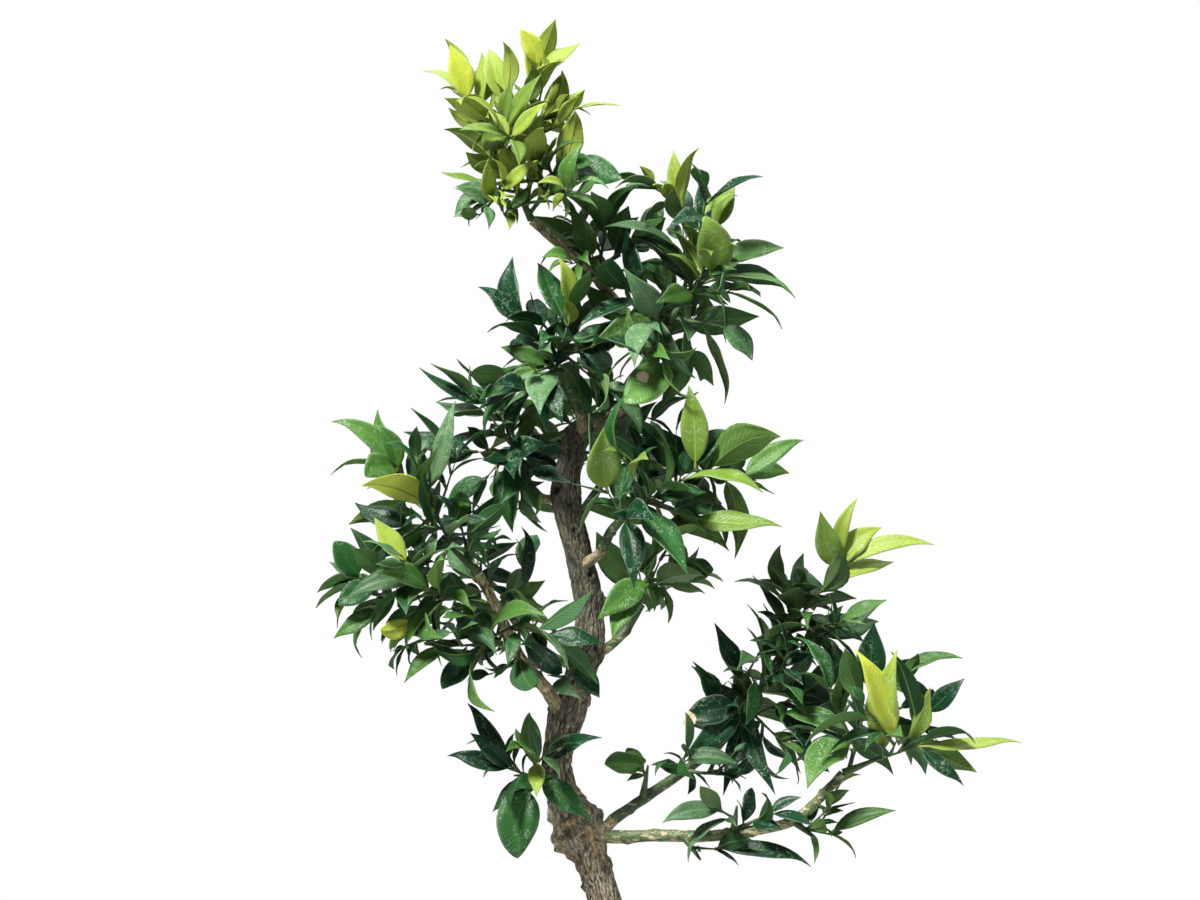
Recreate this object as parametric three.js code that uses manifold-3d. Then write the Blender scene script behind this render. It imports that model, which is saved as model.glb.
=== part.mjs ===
// A myrtle-leaf orange grown as a bonsai: a small evergreen citrus with a slim, swaying trunk, tiered boughs
// and leafy shoots, standing in a plain oval clay pot. Millimetres, +Z up, seen from the front along +Y.
// The origin is the centre of the pot's flat underside.
import * as THREE from "three";
import { mergeVertices } from "three/addons/utils/BufferGeometryUtils.js";
import Module from "manifold-3d";

const wasm = await Module();
wasm.setup();

const tree = new THREE.Group();
const up = new THREE.Vector3(0, 0, 1);
const CLEAR = 0.3; // gap between pieces that meet

const vector = ([x, y, z]) => new THREE.Vector3(x, y, z);

const finish = (color, roughness) => new THREE.MeshStandardMaterial({ color, roughness, metalness: 0 });
const bark = finish(0x6b5c4b, 0.9);
const greenBark = finish(0x4d5a38, 0.75);
const matureLeaf = finish(0x2c5236, 0.45);
const youngLeaf = finish(0x93b03a, 0.45);
const clay = finish(0x5a4234, 0.8);
const grit = finish(0x6e5b48, 1.0);

// A closed three.js geometry as a solid that can be joined and cut.
function solidOf(geometry) {
  const bare = geometry.clone();
  for (const name of Object.keys(bare.attributes)) if (name !== "position") bare.deleteAttribute(name);
  const merged = mergeVertices(bare, 1e-4);
  return new wasm.Manifold(
    new wasm.Mesh({
      numProp: 3,
      vertProperties: new Float32Array(merged.attributes.position.array),
      triVerts: new Uint32Array(merged.index.array),
    }),
  );
}

// The largest body of a solid, with any void that the joining sealed left out.
function wholeBody(solid) {
  const bodies = solid.decompose();
  return bodies.reduce((best, body) => (body.volume() > best.volume() ? body : best));
}

function addPiece(name, solid, material) {
  const { vertProperties, triVerts } = solid.getMesh();
  const geometry = new THREE.BufferGeometry();
  geometry.setAttribute("position", new THREE.BufferAttribute(vertProperties, 3));
  geometry.setIndex(new THREE.BufferAttribute(triVerts, 1));
  geometry.computeVertexNormals();
  const mesh = new THREE.Mesh(geometry, material);
  mesh.name = name;
  tree.add(mesh);
  return mesh;
}

// The pot: a thick-walled oval bowl on a low plinth, turned as a round profile and drawn out along X.
const POT_LENGTH = 250;
const POT_WIDTH = 190;
const POT_HEIGHT = 80;
const PLINTH_HEIGHT = 7;
const RIM_HEIGHT = 11;
const POT_SIDES = 28;
const POT_FLOOR = 15;
const SOIL_EDGE = 68;
const SOIL_TOP = 73;
const rimRadius = POT_WIDTH / 2;
const innerFloorRadius = rimRadius - 21;
const innerRimRadius = rimRadius - 8;

function oval(profile) {
  const geometry = new THREE.LatheGeometry(
    profile.map(([radius, height]) => new THREE.Vector2(radius, height)),
    POT_SIDES,
  );
  geometry.rotateX(Math.PI / 2);
  geometry.scale(POT_LENGTH / POT_WIDTH, 1, 1);
  return geometry;
}

// The radius of the pot's inner wall at a height above the ground.
function innerRadius(height) {
  const share = (height - POT_FLOOR) / (POT_HEIGHT - POT_FLOOR);
  return innerFloorRadius + share * (innerRimRadius - innerFloorRadius);
}

const potBody = solidOf(
  oval([
    [0, 0],
    [rimRadius - 20, 0],
    [rimRadius - 18, PLINTH_HEIGHT],
    [rimRadius - 14, PLINTH_HEIGHT + 2],
    [rimRadius - 5, POT_HEIGHT - RIM_HEIGHT - 3],
    [rimRadius - 1, POT_HEIGHT - RIM_HEIGHT],
    [rimRadius, POT_HEIGHT - 2],
    [rimRadius - 2, POT_HEIGHT],
    [innerRimRadius, POT_HEIGHT],
    [innerFloorRadius, POT_FLOOR],
    [0, POT_FLOOR],
  ]),
);

// Four shallow arches are cut into the plinth, so that it reads as feet.
const ARCH_DEPTH = 12;
const archShape = (span) => {
  const shape = new THREE.Shape();
  shape.moveTo(-span / 2, -1);
  shape.lineTo(span / 2, -1);
  shape.quadraticCurveTo(span / 2 - 8, PLINTH_HEIGHT - 2, span / 2 - 18, PLINTH_HEIGHT - 2);
  shape.lineTo(18 - span / 2, PLINTH_HEIGHT - 2);
  shape.quadraticCurveTo(8 - span / 2, PLINTH_HEIGHT - 2, -span / 2, -1);
  return shape;
};

function arch(span, distance, turn) {
  const geometry = new THREE.ExtrudeGeometry(archShape(span), {
    depth: 2 * ARCH_DEPTH,
    bevelEnabled: false,
    curveSegments: 3,
  });
  geometry.rotateX(Math.PI / 2);
  geometry.translate(0, -distance + ARCH_DEPTH, 0);
  geometry.rotateZ(turn);
  return solidOf(geometry);
}

const plinthHalfWidth = rimRadius - 20;
const plinthHalfLength = (plinthHalfWidth * POT_LENGTH) / POT_WIDTH;
const pot = [0, 1, 2, 3].reduce((body, quarter) => {
  const onLongSide = quarter % 2 === 0;
  return body.subtract(
    arch(onLongSide ? 110 : 70, onLongSide ? plinthHalfWidth : plinthHalfLength, (quarter * Math.PI) / 2),
  );
}, potBody);
addPiece("pot", wholeBody(pot), clay);

// The soil fills the pot and rises a little towards the trunk, where it is level. Elsewhere its top is lumpy.
const SOIL_RINGS = 6; // of corners on its top, from its edge to its middle
const SOIL_LUMP = 1.1; // how far the lumps stand above and below its mean level
const LUMP_WAVES = [7.5, 6.5]; // their lengths along X and Y, as mm for each radian
const LEVEL_GROUND = { centre: [16, 0], from: 26, to: 44 };

function lumpHeight(x, y) {
  const away = Math.hypot(x - LEVEL_GROUND.centre[0], y - LEVEL_GROUND.centre[1]);
  const share = THREE.MathUtils.smoothstep(away, LEVEL_GROUND.from, LEVEL_GROUND.to);
  return SOIL_LUMP * share * Math.sin(x / LUMP_WAVES[0] + 0.8) * Math.cos(y / LUMP_WAVES[1] - 0.4);
}

const soilEdgeRadius = innerRadius(SOIL_EDGE) - CLEAR;
const soilTop = Array.from({ length: SOIL_RINGS }, (_, ring) => {
  const inwards = ring / SOIL_RINGS;
  const rise = THREE.MathUtils.smoothstep(inwards, 0, 0.6);
  return [soilEdgeRadius * (1 - inwards), SOIL_EDGE + (SOIL_TOP - SOIL_EDGE) * rise];
});
const soilGeometry = oval([
  [0, POT_FLOOR + CLEAR],
  [innerFloorRadius - CLEAR, POT_FLOOR + CLEAR],
  ...soilTop,
  [0, SOIL_TOP],
]);
const soilCorners = soilGeometry.attributes.position;
for (let i = 0; i < soilCorners.count; i += 1) {
  const [x, y, z] = [soilCorners.getX(i), soilCorners.getY(i), soilCorners.getZ(i)];
  const onEdge = Math.hypot((x * POT_WIDTH) / POT_LENGTH, y) > soilEdgeRadius - CLEAR;
  if (z > SOIL_EDGE - 1 && !onEdge) soilCorners.setZ(i, z + lumpHeight(x, y));
}
addPiece("soil", solidOf(soilGeometry), grit);

// A limb is a round bar bent along a smooth curve, with a radius that changes along it.
function limbCurve(points) {
  return new THREE.CatmullRomCurve3(points.map(vector), false, "catmullrom", 0.5);
}

// The world axis that a curve runs along least, from which its cross-sections take their bearings.
function bearingOf(curve) {
  const ends = [curve.getTangent(0), curve.getTangent(1)];
  const axes = [new THREE.Vector3(1, 0, 0), new THREE.Vector3(0, 1, 0), up];
  const slant = (axis) => Math.max(...ends.map((tangent) => Math.abs(tangent.dot(axis))));
  return axes.reduce((best, axis) => (slant(axis) < slant(best) ? axis : best));
}

// The direction from a curve's axis that lies at an angle round it.
function outward(curve, bearing, along, turn) {
  const tangent = curve.getTangent(along);
  const side = new THREE.Vector3().crossVectors(bearing, tangent).normalize();
  const other = new THREE.Vector3().crossVectors(tangent, side);
  return side.multiplyScalar(Math.cos(turn)).addScaledVector(other, Math.sin(turn));
}

// A bar with flat ends that follows a curve.
function barSolid(curve, radiusAt, sides, rings) {
  const geometry = new THREE.CylinderGeometry(1, 1, 1, sides, rings);
  const bearing = bearingOf(curve);
  const position = geometry.attributes.position;
  for (let i = 0; i < position.count; i += 1) {
    const along = position.getY(i) + 0.5;
    const turn = Math.atan2(position.getZ(i), position.getX(i));
    const onAxis = Math.hypot(position.getX(i), position.getZ(i)) < 1e-6;
    const point = curve.getPoint(along);
    if (!onAxis) point.addScaledVector(outward(curve, bearing, along, -turn), radiusAt(along));
    position.setXYZ(i, point.x, point.y, point.z);
  }
  return solidOf(geometry);
}

// The trunk leans left, sways back right and stops at an old pruning cut, where the leader takes over. Its path
// starts below the soil, and its foot is cut flat at the soil's surface.
const TRUNK_FOOT = SOIL_TOP + CLEAR;
const TRUNK_TOP = 397;
const TRUNK_RADIUS = [9.2, 6.2]; // above the root flare, and at the pruning cut
const ROOT_FLARE = { swell: 11, reach: 9 };
const trunkPath = [
  [16, 0, 58],
  [13, 1, 100],
  [8, 3, 132],
  [2, 4, 160],
  [-5, 4, 181],
  [-15, 2, 203],
  [-21, -2, 222],
  [-20, -4, 240],
  [-12, -4, 264],
  [-6, 0, 288],
  [-6, 4, 308],
  [-11, 4, 333],
  [-17, 2, 360],
  [-15, 0, 380],
  [-9, -1, TRUNK_TOP],
];
// Where a bough was cut or leaves, the trunk swells into a burl or collar: [height, swell, half height].
const trunkSwells = [
  [195, 4.2, 10],
  [253, 1.6, 9],
  [286, 1.2, 9],
  [362, 1.4, 8],
];
const TRUNK_SIDES = 12;
const TRUNK_RINGS = 26;
const trunkCurve = limbCurve(trunkPath);

function trunkRadius(along) {
  const height = trunkCurve.getPoint(along).z;
  const rise = (height - TRUNK_FOOT) / (TRUNK_TOP - TRUNK_FOOT);
  const taper = TRUNK_RADIUS[0] + (TRUNK_RADIUS[1] - TRUNK_RADIUS[0]) * rise;
  const flare = ROOT_FLARE.swell * Math.exp(-Math.max(height - TRUNK_FOOT, 0) / ROOT_FLARE.reach);
  return trunkSwells.reduce(
    (radius, [centre, swell, reach]) => radius + swell * Math.exp(-(((height - centre) / reach) ** 2)),
    taper + flare,
  );
}

// The boughs, from where each leaves its parent's axis to its tip. radius: at the collar, after it, at the tip.
const boughs = {
  bough_low_right: {
    parent: "trunk",
    radius: [6.5, 3.1, 2.2],
    path: [
      [-9, 0, 196],
      [6, -3, 192],
      [30, -8, 193],
      [52, -13, 193],
      [74, -17, 196],
      [95, -20, 201],
      [108, -22, 212],
      [120, -24, 225],
    ],
  },
  bough_high_right: {
    parent: "bough_low_right",
    radius: [4.2, 2.9, 2.1],
    path: [
      [1, -1, 194],
      [8, 1, 201],
      [25, 10, 212],
      [44, 20, 224],
      [59, 28, 234],
    ],
  },
  bough_left: {
    parent: "trunk",
    radius: [5.4, 3.4, 2.3],
    path: [
      [-16, -4, 248],
      [-26, -11, 265],
      [-39, -20, 281],
      [-47, -28, 298],
      [-53, -33, 311],
      [-60, -38, 325],
    ],
  },
  bough_right: {
    parent: "trunk",
    radius: [4.6, 2.6, 1.9],
    path: [
      [-7, -1, 283],
      [2, -1, 285],
      [12, -1, 294],
      [21, -1, 308],
    ],
  },
  bough_centre_right: {
    parent: "trunk",
    radius: [3.4, 2.6, 2.1],
    path: [
      [-10, 2, 326],
      [0, -7, 334],
      [5, -16, 344],
      [10, -22, 350],
    ],
  },
  bough_centre_left: {
    parent: "trunk",
    radius: [3.6, 2.3, 1.8],
    path: [
      [-17, 2, 361],
      [-29, 7, 361],
      [-36, 11, 369],
      [-41, 14, 380],
    ],
  },
  bough_leader: {
    parent: "trunk",
    radius: [4.6, 3.5, 2.8],
    path: [
      [-12, 0, 388],
      [3, 2, 399],
      [19, 5, 412],
      [26, 6, 430],
      [34, 4, 448],
    ],
  },
  bough_crown_left: {
    parent: "trunk",
    radius: [3.6, 2.8, 2.2],
    path: [
      [-10, -1, 389],
      [-9, -7, 399],
      [-12, -10, 407],
      [-16, -11, 415],
    ],
  },
  bough_top: {
    parent: "bough_leader",
    radius: [3.4, 2.9, 2.1],
    path: [
      [25, 6, 430],
      [18, 12, 446],
      [5, 13, 463],
      [-9, 11, 479],
      [-23, 8, 490],
      [-34, 5, 500],
    ],
  },
  bough_back: {
    parent: "trunk",
    radius: [3.6, 2.6, 2.0],
    path: [
      [-14, 3, 348],
      [-10, 20, 352],
      [-3, 38, 362],
      [4, 52, 374],
    ],
  },
  bough_back_low: {
    parent: "trunk",
    radius: [3.8, 2.5, 1.9],
    path: [
      [-8, -1, 276],
      [-18, 16, 278],
      [-32, 32, 286],
      [-44, 44, 298],
    ],
  },
};
const BOUGH_SIDES = 7;
const BOUGH_RINGS = 8;
const COLLAR_SHARE = 0.22; // how much of a bough its collar takes

function boughRadius([collar, wood, tip], along) {
  if (along < COLLAR_SHARE) {
    const rise = 1 - along / COLLAR_SHARE;
    return wood + (collar - wood) * rise * rise;
  }
  return wood + ((tip - wood) * (along - COLLAR_SHARE)) / (1 - COLLAR_SHARE);
}

const limbs = { trunk: { curve: trunkCurve, radiusAt: trunkRadius } };
for (const [name, { path, radius }] of Object.entries(boughs))
  limbs[name] = { curve: limbCurve(path), radiusAt: (along) => boughRadius(radius, along) };

// A limb grown by the clearance, to cut what meets it.
function grown(name) {
  const { curve, radiusAt } = limbs[name];
  const isTrunk = name === "trunk";
  const [sides, rings] = isTrunk ? [TRUNK_SIDES, TRUNK_RINGS] : [BOUGH_SIDES, BOUGH_RINGS];
  return barSolid(curve, (along) => radiusAt(along) + CLEAR, sides, rings);
}

const grownLimbs = Object.fromEntries(Object.keys(limbs).map((name) => [name, grown(name)]));

const trunk = barSolid(trunkCurve, trunkRadius, TRUNK_SIDES, TRUNK_RINGS);
addPiece("trunk", trunk.trimByPlane([0, 0, 1], TRUNK_FOOT), bark);
for (const [name, { parent }] of Object.entries(boughs)) {
  const { curve, radiusAt } = limbs[name];
  const bough = barSolid(curve, radiusAt, BOUGH_SIDES, BOUGH_RINGS);
  const cut = bough.subtract(grownLimbs[parent]).subtract(grownLimbs.trunk);
  const woody = ["bough_leader", "bough_top", "bough_left"].includes(name);
  addPiece(name, wholeBody(cut), woody ? bark : greenBark);
}

// Foliage. Each mass grows from one stem at the tip or side of a limb. Its main shoots run to named tips, each
// from the nearest older twig; the leaves that stand out in the outline grow next, then side shoots and all
// other leaves follow by the seeded rule below.
// seat: the limb, and how far along it the stem starts. heart: where the stem ends. tips: ends of the main
// shoots. standouts: tip and width of each leaf that stands out, and for some the number of the shoot that it
// grows from. space: centre and half sizes of the room that the mass keeps to. leaf: its usual length.
const masses = {
  crown_top: {
    seat: ["bough_top", 1],
    heart: [-41, 3, 514],
    tips: [
      [-31, 2, 576],
      [-66, -4, 558],
      [-48, -14, 546],
      [-26, 10, 552],
      [-46, 22, 550],
      [-56, 0, 516],
      [-18, -6, 526],
      [-34, -14, 530],
      [-58, 12, 536],
    ],
    standouts: [
      [-75, -8, 587, 13],
      [11, -14, 519, 17],
      [-3, -24, 526, 12],
      [-73, 0, 503, 10],
      [-72, -10, 516, 8],
      [-40, -2, 595, 11],
      [-10, 0, 588, 11],
    ],
    space: [[-34, 2, 545], [56, 54, 60]],
    leaf: 35,
    sideShoots: 3,
    young: true,
    seed: 325,
  },
  crown_inner: {
    seat: ["bough_top", 0.55],
    heart: [4, 16, 480],
    tips: [
      [4, 14, 500],
      [18, 22, 490],
      [-6, 28, 486],
      [-14, -4, 478],
    ],
    standouts: [],
    space: [[2, 16, 486], [38, 42, 32]],
    leaf: 36,
    sideShoots: 0,
    seed: 110,
  },
  crown_right: {
    seat: ["bough_leader", 1],
    heart: [43, 1, 461],
    tips: [
      [41, 1, 507],
      [56, -2, 494],
      [55, -16, 472],
      [60, -4, 478],
      [60, -2, 447],
      [16, -14, 463],
      [26, -24, 448],
      [56, 24, 482],
      [36, 28, 464],
      [32, -20, 430],
      [46, 16, 436],
      [26, 4, 486],
      [12, 12, 448],
    ],
    standouts: [
      [37, 0, 535, 9],
      [67, -2, 521, 11],
      [92, -8, 485, 14],
      [52, -30, 499, 18],
      [12, -34, 408, 20],
      [76, -6, 430, 12],
    ],
    space: [[40, 2, 470], [58, 60, 66]],
    leaf: 40,
    sideShoots: 4,
    seed: 102,
  },
  crown_left: {
    seat: ["bough_crown_left", 1],
    heart: [-22, -12, 425],
    tips: [
      [-36, -13, 446],
      [-14, -16, 454],
      [-42, -18, 420],
      [-4, -26, 436],
      [-22, 12, 446],
      [-38, 10, 426],
      [-24, -28, 428],
      [2, -20, 416],
    ],
    standouts: [
      [-59, -16, 467, 12],
      [-60, -22, 411, 11],
      [-20, -24, 480, 10],
    ],
    space: [[-24, -6, 434], [54, 52, 50]],
    leaf: 40,
    sideShoots: 3,
    seed: 201,
  },
  centre_left: {
    seat: ["bough_centre_left", 1],
    heart: [-44, 14, 388],
    tips: [
      [-52, 14, 408],
      [-46, 0, 390],
      [-62, 8, 384],
      [-44, 32, 396],
      [-40, 20, 368],
      [-34, 0, 376],
      [-56, -2, 372],
    ],
    standouts: [
      [-91, 6, 426, 9],
      [-78, 2, 356, 13],
    ],
    space: [[-52, 12, 388], [46, 46, 46]],
    leaf: 42,
    sideShoots: 2,
    seed: 210,
  },
  left_upper: {
    seat: ["bough_left", 1],
    heart: [-72, -39, 336],
    tips: [
      [-85, -40, 362],
      [-90, -42, 348],
      [-99, -42, 374],
      [-70, -46, 352],
      [-96, -24, 346],
      [-70, -16, 352],
      [-60, -44, 344],
    ],
    standouts: [
      [-131, -38, 401, 11],
      [-110, -44, 398, 10],
      [-113, -58, 374, 17],
      [-72, -34, 410, 10],
    ],
    space: [[-88, -34, 364], [48, 44, 48]],
    leaf: 42,
    sideShoots: 2,
    seed: 228,
  },
  left_outer: {
    seat: ["bough_left", 0.72],
    heart: [-70, -36, 312],
    tips: [
      [-118, -34, 322],
      [-108, -34, 308],
      [-98, -44, 326],
      [-88, -24, 304],
      [-110, -12, 316],
      [-84, -50, 316],
      [-96, -36, 296],
    ],
    standouts: [
      [-131, -38, 293, 10],
      [-131, -40, 340, 15],
      [-128, -44, 310, 13],
    ],
    space: [[-98, -32, 318], [44, 44, 36]],
    leaf: 38,
    sideShoots: 2,
    seed: 119,
  },
  left_low: {
    seat: ["bough_left", 0.48],
    heart: [-52, -28, 290],
    tips: [
      [-74, -32, 288],
      [-88, -24, 292],
      [-62, -42, 302],
      [-36, -40, 302],
      [-26, -32, 294],
      [-54, -4, 284],
      [-64, -30, 274],
      [-40, -40, 278],
    ],
    standouts: [
      [1, -36, 290, 12],
      [-78, -32, 268, 12],
      [-96, -36, 270, 9],
    ],
    space: [[-56, -26, 292], [58, 46, 36]],
    leaf: 40,
    sideShoots: 2,
    seed: 228,
  },
  centre_right: {
    seat: ["bough_centre_right", 1],
    heart: [18, -26, 355],
    tips: [
      [47, -26, 375],
      [28, -36, 366],
      [70, -12, 370],
      [52, 0, 372],
      [12, -38, 352],
      [4, -30, 364],
      [44, -22, 352],
      [20, -10, 384],
      [-12, -30, 368],
      [34, -4, 346],
    ],
    standouts: [
      [44, -26, 417, 14],
      [2, -46, 395, 18],
      [88, -40, 350, 14],
      [101, -10, 391, 11],
    ],
    space: [[42, -16, 368], [64, 52, 54]],
    leaf: 44,
    sideShoots: 3,
    seed: 206,
  },
  right_mid: {
    seat: ["bough_right", 1],
    heart: [24, -1, 316],
    tips: [
      [30, -3, 330],
      [38, 6, 322],
      [20, 16, 322],
      [22, -16, 324],
      [36, -8, 340],
    ],
    standouts: [
      [57, -6, 325, 14],
      [6, -24, 292, 15],
    ],
    space: [[32, 0, 324], [38, 40, 38]],
    leaf: 42,
    sideShoots: 1,
    seed: 126,
  },
  right_upper: {
    seat: ["bough_high_right", 1],
    heart: [72, 28, 248],
    tips: [
      [88, 24, 278],
      [121, 20, 325],
      [98, 12, 296],
      [72, 18, 268],
      [60, 26, 252],
      [106, 40, 284],
      [82, 44, 266],
      [102, 18, 262],
      [112, 22, 290],
      [82, 2, 288],
      [92, -2, 266],
      [107, 26, 306],
      [70, 8, 256],
    ],
    standouts: [
      [168, 16, 338, 10],
      [130, 22, 361, 8],
      [111, 12, 354, 14],
      [142, 24, 346, 13],
      [48, 16, 278, 9],
      [143, 10, 310, 10],
      [88, 0, 214, 10],
      [62, 8, 211, 9],
      [42, 6, 249, 16],
    ],
    space: [[104, 22, 290], [80, 52, 84]],
    leaf: 36,
    sideShoots: 3,
    seed: 310,
  },
  right_outer: {
    seat: ["bough_low_right", 1],
    heart: [134, -25, 231],
    tips: [
      [157, -31, 239],
      [146, -39, 243],
      [134, -9, 264],
      [120, -25, 252],
      [150, -3, 256],
      [128, -1, 244],
      [114, -27, 264],
      [150, -13, 270],
      [162, -19, 254],
    ],
    standouts: [
      [127, -50, 287, 15, 2],
      [145, -50, 286, 16, 1],
      [207, -33, 243, 8],
      [179, -37, 221, 9],
      [102, -47, 221, 19],
      [180, -25, 272, 11],
      [136, -17, 300, 15],
    ],
    space: [[150, -21, 258], [62, 50, 50]],
    leaf: 42,
    sideShoots: 2,
    seed: 356,
  },
  spur_knot: {
    seat: ["bough_low_right", 0.72],
    heart: [100, -23, 198],
    tips: [
      [113, -24, 195],
      [112, -25, 207],
    ],
    standouts: [
      [146, -27, 207, 9],
      [115, -29, 185, 8],
      [128, -25, 194, 7],
    ],
    space: [[118, -23, 200], [36, 28, 28]],
    leaf: 22,
    sideShoots: 0,
    seed: 104,
  },
  spur_low: {
    seat: ["bough_low_right", 0.52],
    heart: [67, -22, 203],
    tips: [
      [61, -24, 206],
      [84, -24, 205],
    ],
    standouts: [
      [31, -28, 202, 11],
      [90, -34, 198, 9],
      [88, -16, 208, 9],
    ],
    space: [[64, -22, 204], [44, 34, 28]],
    leaf: 30,
    sideShoots: 0,
    seed: 227,
  },
  spur_under: {
    seat: ["bough_low_right", 0.36],
    heart: [46, -16, 187],
    tips: [[57, -17, 187]],
    standouts: [
      [104, -24, 182, 10],
      [34, -20, 183, 6],
    ],
    space: [[66, -16, 190], [48, 24, 22]],
    leaf: 26,
    sideShoots: 0,
    seed: 221,
  },
  spur_high: {
    seat: ["bough_high_right", 0.45],
    heart: [23, 1, 221],
    tips: [[21, -2, 227]],
    standouts: [[2, -9, 228, 14]],
    space: [[14, -1, 228], [28, 22, 18]],
    leaf: 22,
    sideShoots: 0,
    seed: 201,
  },
  spur_fork: {
    seat: ["bough_high_right", 0.72],
    heart: [41, 7, 227],
    tips: [
      [43, 3, 233],
      [34, 1, 228],
    ],
    standouts: [
      [56, -5, 236, 12],
      [27, -1, 229, 9],
    ],
    space: [[44, 7, 230], [34, 28, 26]],
    leaf: 28,
    sideShoots: 0,
    seed: 229,
  },
  trunk_cluster: {
    seat: ["trunk", 0.43],
    heart: [-36, -10, 223],
    tips: [
      [-43, -13, 226],
      [-34, -20, 232],
      [-33, -20, 218],
    ],
    standouts: [
      [-41, -28, 184, 21, 3],
      [-75, -14, 235, 10],
      [-65, -8, 260, 9],
      [-1, -30, 244, 13],
      [-54, -12, 206, 12],
      [-42, -42, 242, 18],
      [-10, -16, 234, 12],
    ],
    space: [[-40, -16, 222], [46, 36, 46]],
    leaf: 30,
    sideShoots: 0,
    seed: 115,
  },
  trunk_sprout: {
    seat: ["trunk", 0.66],
    heart: [-17, -14, 272],
    tips: [[-23, -18, 273]],
    standouts: [[0, -24, 262, 11]],
    space: [[-14, -18, 270], [30, 26, 16]],
    leaf: 26,
    sideShoots: 0,
    seed: 221,
  },
  back_high: {
    seat: ["bough_back", 1],
    heart: [8, 60, 382],
    tips: [
      [26, 66, 398],
      [-14, 62, 402],
      [4, 84, 392],
      [32, 54, 380],
      [-24, 56, 384],
      [4, 70, 412],
      [18, 74, 374],
    ],
    standouts: [],
    space: [[4, 64, 392], [56, 50, 48]],
    leaf: 40,
    sideShoots: 1,
    seed: 119,
  },
  back_low: {
    seat: ["bough_back_low", 1],
    heart: [-50, 50, 305],
    tips: [
      [-64, 54, 318],
      [-40, 62, 322],
      [-56, 74, 306],
      [-76, 44, 304],
      [-40, 40, 312],
    ],
    standouts: [],
    space: [[-56, 54, 310], [46, 46, 38]],
    leaf: 40,
    sideShoots: 1,
    seed: 233,
  },
};

// The seeded rule. Lengths in millimetres, angles in radians, shares of a twig's or a leaf's length. A pair of
// values is a range, low then high, or foot then tip.
const GOLDEN_ANGLE = (137.5 * Math.PI) / 180;

// Its twigs.
const STEM_RADIUS = 2.2; // of a stem on the side of a limb; at a limb's tip it is as thick as the limb
const STEM_KNEE = 0.4; // how far a stem's knee runs on from the limb
const SHOOT_SHARE = 0.64; // a shoot's radius at its foot, as a share of the wood that it leaves
const THINNEST_FOOT = 0.9;
const BUD = { stem: 14, shoot: 7, side: 6 }; // how far a twig tapers on past its last leaf
const BEND_FROM = 48; // shoots from this length on bend in the middle
const FORK_STEPS = 10; // the places along a twig where others may leave it, from the third on
const FORK_STIFFNESS = 1.7; // how much a shoot would sooner run straight on than fork back
const KNEE_ALONG_PARENT = 0.35; // a shoot's knee lies this far along its parent's line,
const KNEE_ALONG_RUN = 0.2; // and this far towards its own tip,
const KNEE_SWAY = 0.12; // give or take half of this
const SIDE_START = [0.3, 0.8];
const SIDE_LENGTH = [18, 32];
const SIDE_FORWARD = 0.55;
const SIDE_LIFT = [0.1, 0.6];
const SIDE_RISE = 0.15; // how far its tip turns up

// Its leaves.
const NODE_SPACING = 8.6; // along a shoot, from one leaf to the next
const LEAFY = [0.24, 0.98]; // the stretch of a shoot that carries leaves
const LEAF_SIZE = [0.82, 1.16]; // of the mass's usual length
const LAST_LEAVES = { from: 0.8, size: 0.88 };
const SIDE_LEAF_SIZE = 0.9;
const LEAF_WIDTH = [0.4, 0.5]; // of its length
const TURN_PLAY = 0.2;
const SPREAD = [1.2, 0.42]; // the angle between leaf and twig
const SPREAD_POWER = 1.4;
const SPREAD_PLAY = 0.3;
const ROLL_PLAY = 1.2;
const CURL = [-0.02, 0.14];
const FOLD = [0.05, 0.18];
const RISE = { young: 0.5, mature: -0.05 }; // how far a leaf turns up
const FACE_PULL = { axis: 0.7, up: 0.6, radial: -0.25 }; // where its upper side turns
const TRIES = 6; // a leaf turns aside from its neighbours this often before it is left out
const TURN_ASIDE = 0.5;
const SHRINK = 0.94; // what each try leaves of the leaf's length
const STANDOUT_LENGTH = 20; // the least length of a leaf that stands out
const STANDOUT_STIFFNESS = 2.2;
const STANDOUT_FACE = [0, -0.8, 0.6];
const STANDOUT_FOLD = 0.1;

// The shape of a blade, and the room kept round it.
const LEAF_OUTLINE = [
  [0.38, 0.5],
  [0.68, 0.39],
]; // how far along, and half how wide
const LEAF_RIDGE = 0.36; // where the blade is thickest
const LEAF_THICKNESS = 1.0;
const LEAF_STALK = 0.05; // where the blade begins
const ROOT_DEPTH = 0.05; // how far the leaf's root reaches past the twig's axis
const LIMB_MARGIN = 1; // kept between leaves or side shoots and the bark
const TWIG_MARGIN = 0.4;
const LIMB_STEPS = 60; // places along a limb where that room is tested
const EDGE_STEPS = [0, 0.25, 0.5, 0.75]; // and along a blade's edges
const SPACE_POWER = 4; // how square the corners of a mass's space are

// A repeatable stream of numbers from 0 to 1.
function randomFrom(seed) {
  let state = (seed * 7919 + 12345) % 4294967296;
  return () => {
    state = (state * 1664525 + 1013904223) % 4294967296;
    return state / 4294967296;
  };
}

const mix = (from, to, share) => from + (to - from) * share;

// A small closed solid as corners and faces, with its edges and a sphere round it for the clash test.
function makeShape(corners, faces) {
  const sides = faces.flatMap((face) => face.map((corner, i) => [corner, face[(i + 1) % 3]]));
  const edges = sides.filter(([start, end]) => start < end);
  const sum = corners.reduce((total, corner) => total.add(corner), new THREE.Vector3());
  const centre = sum.divideScalar(corners.length);
  const reach = Math.max(...corners.map((corner) => corner.distanceTo(centre)));
  return { corners, faces, edges, centre, reach };
}

function shapeSolid({ corners, faces }) {
  const geometry = new THREE.BufferGeometry().setFromPoints(corners);
  geometry.setIndex(faces.flat());
  return solidOf(geometry);
}

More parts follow.
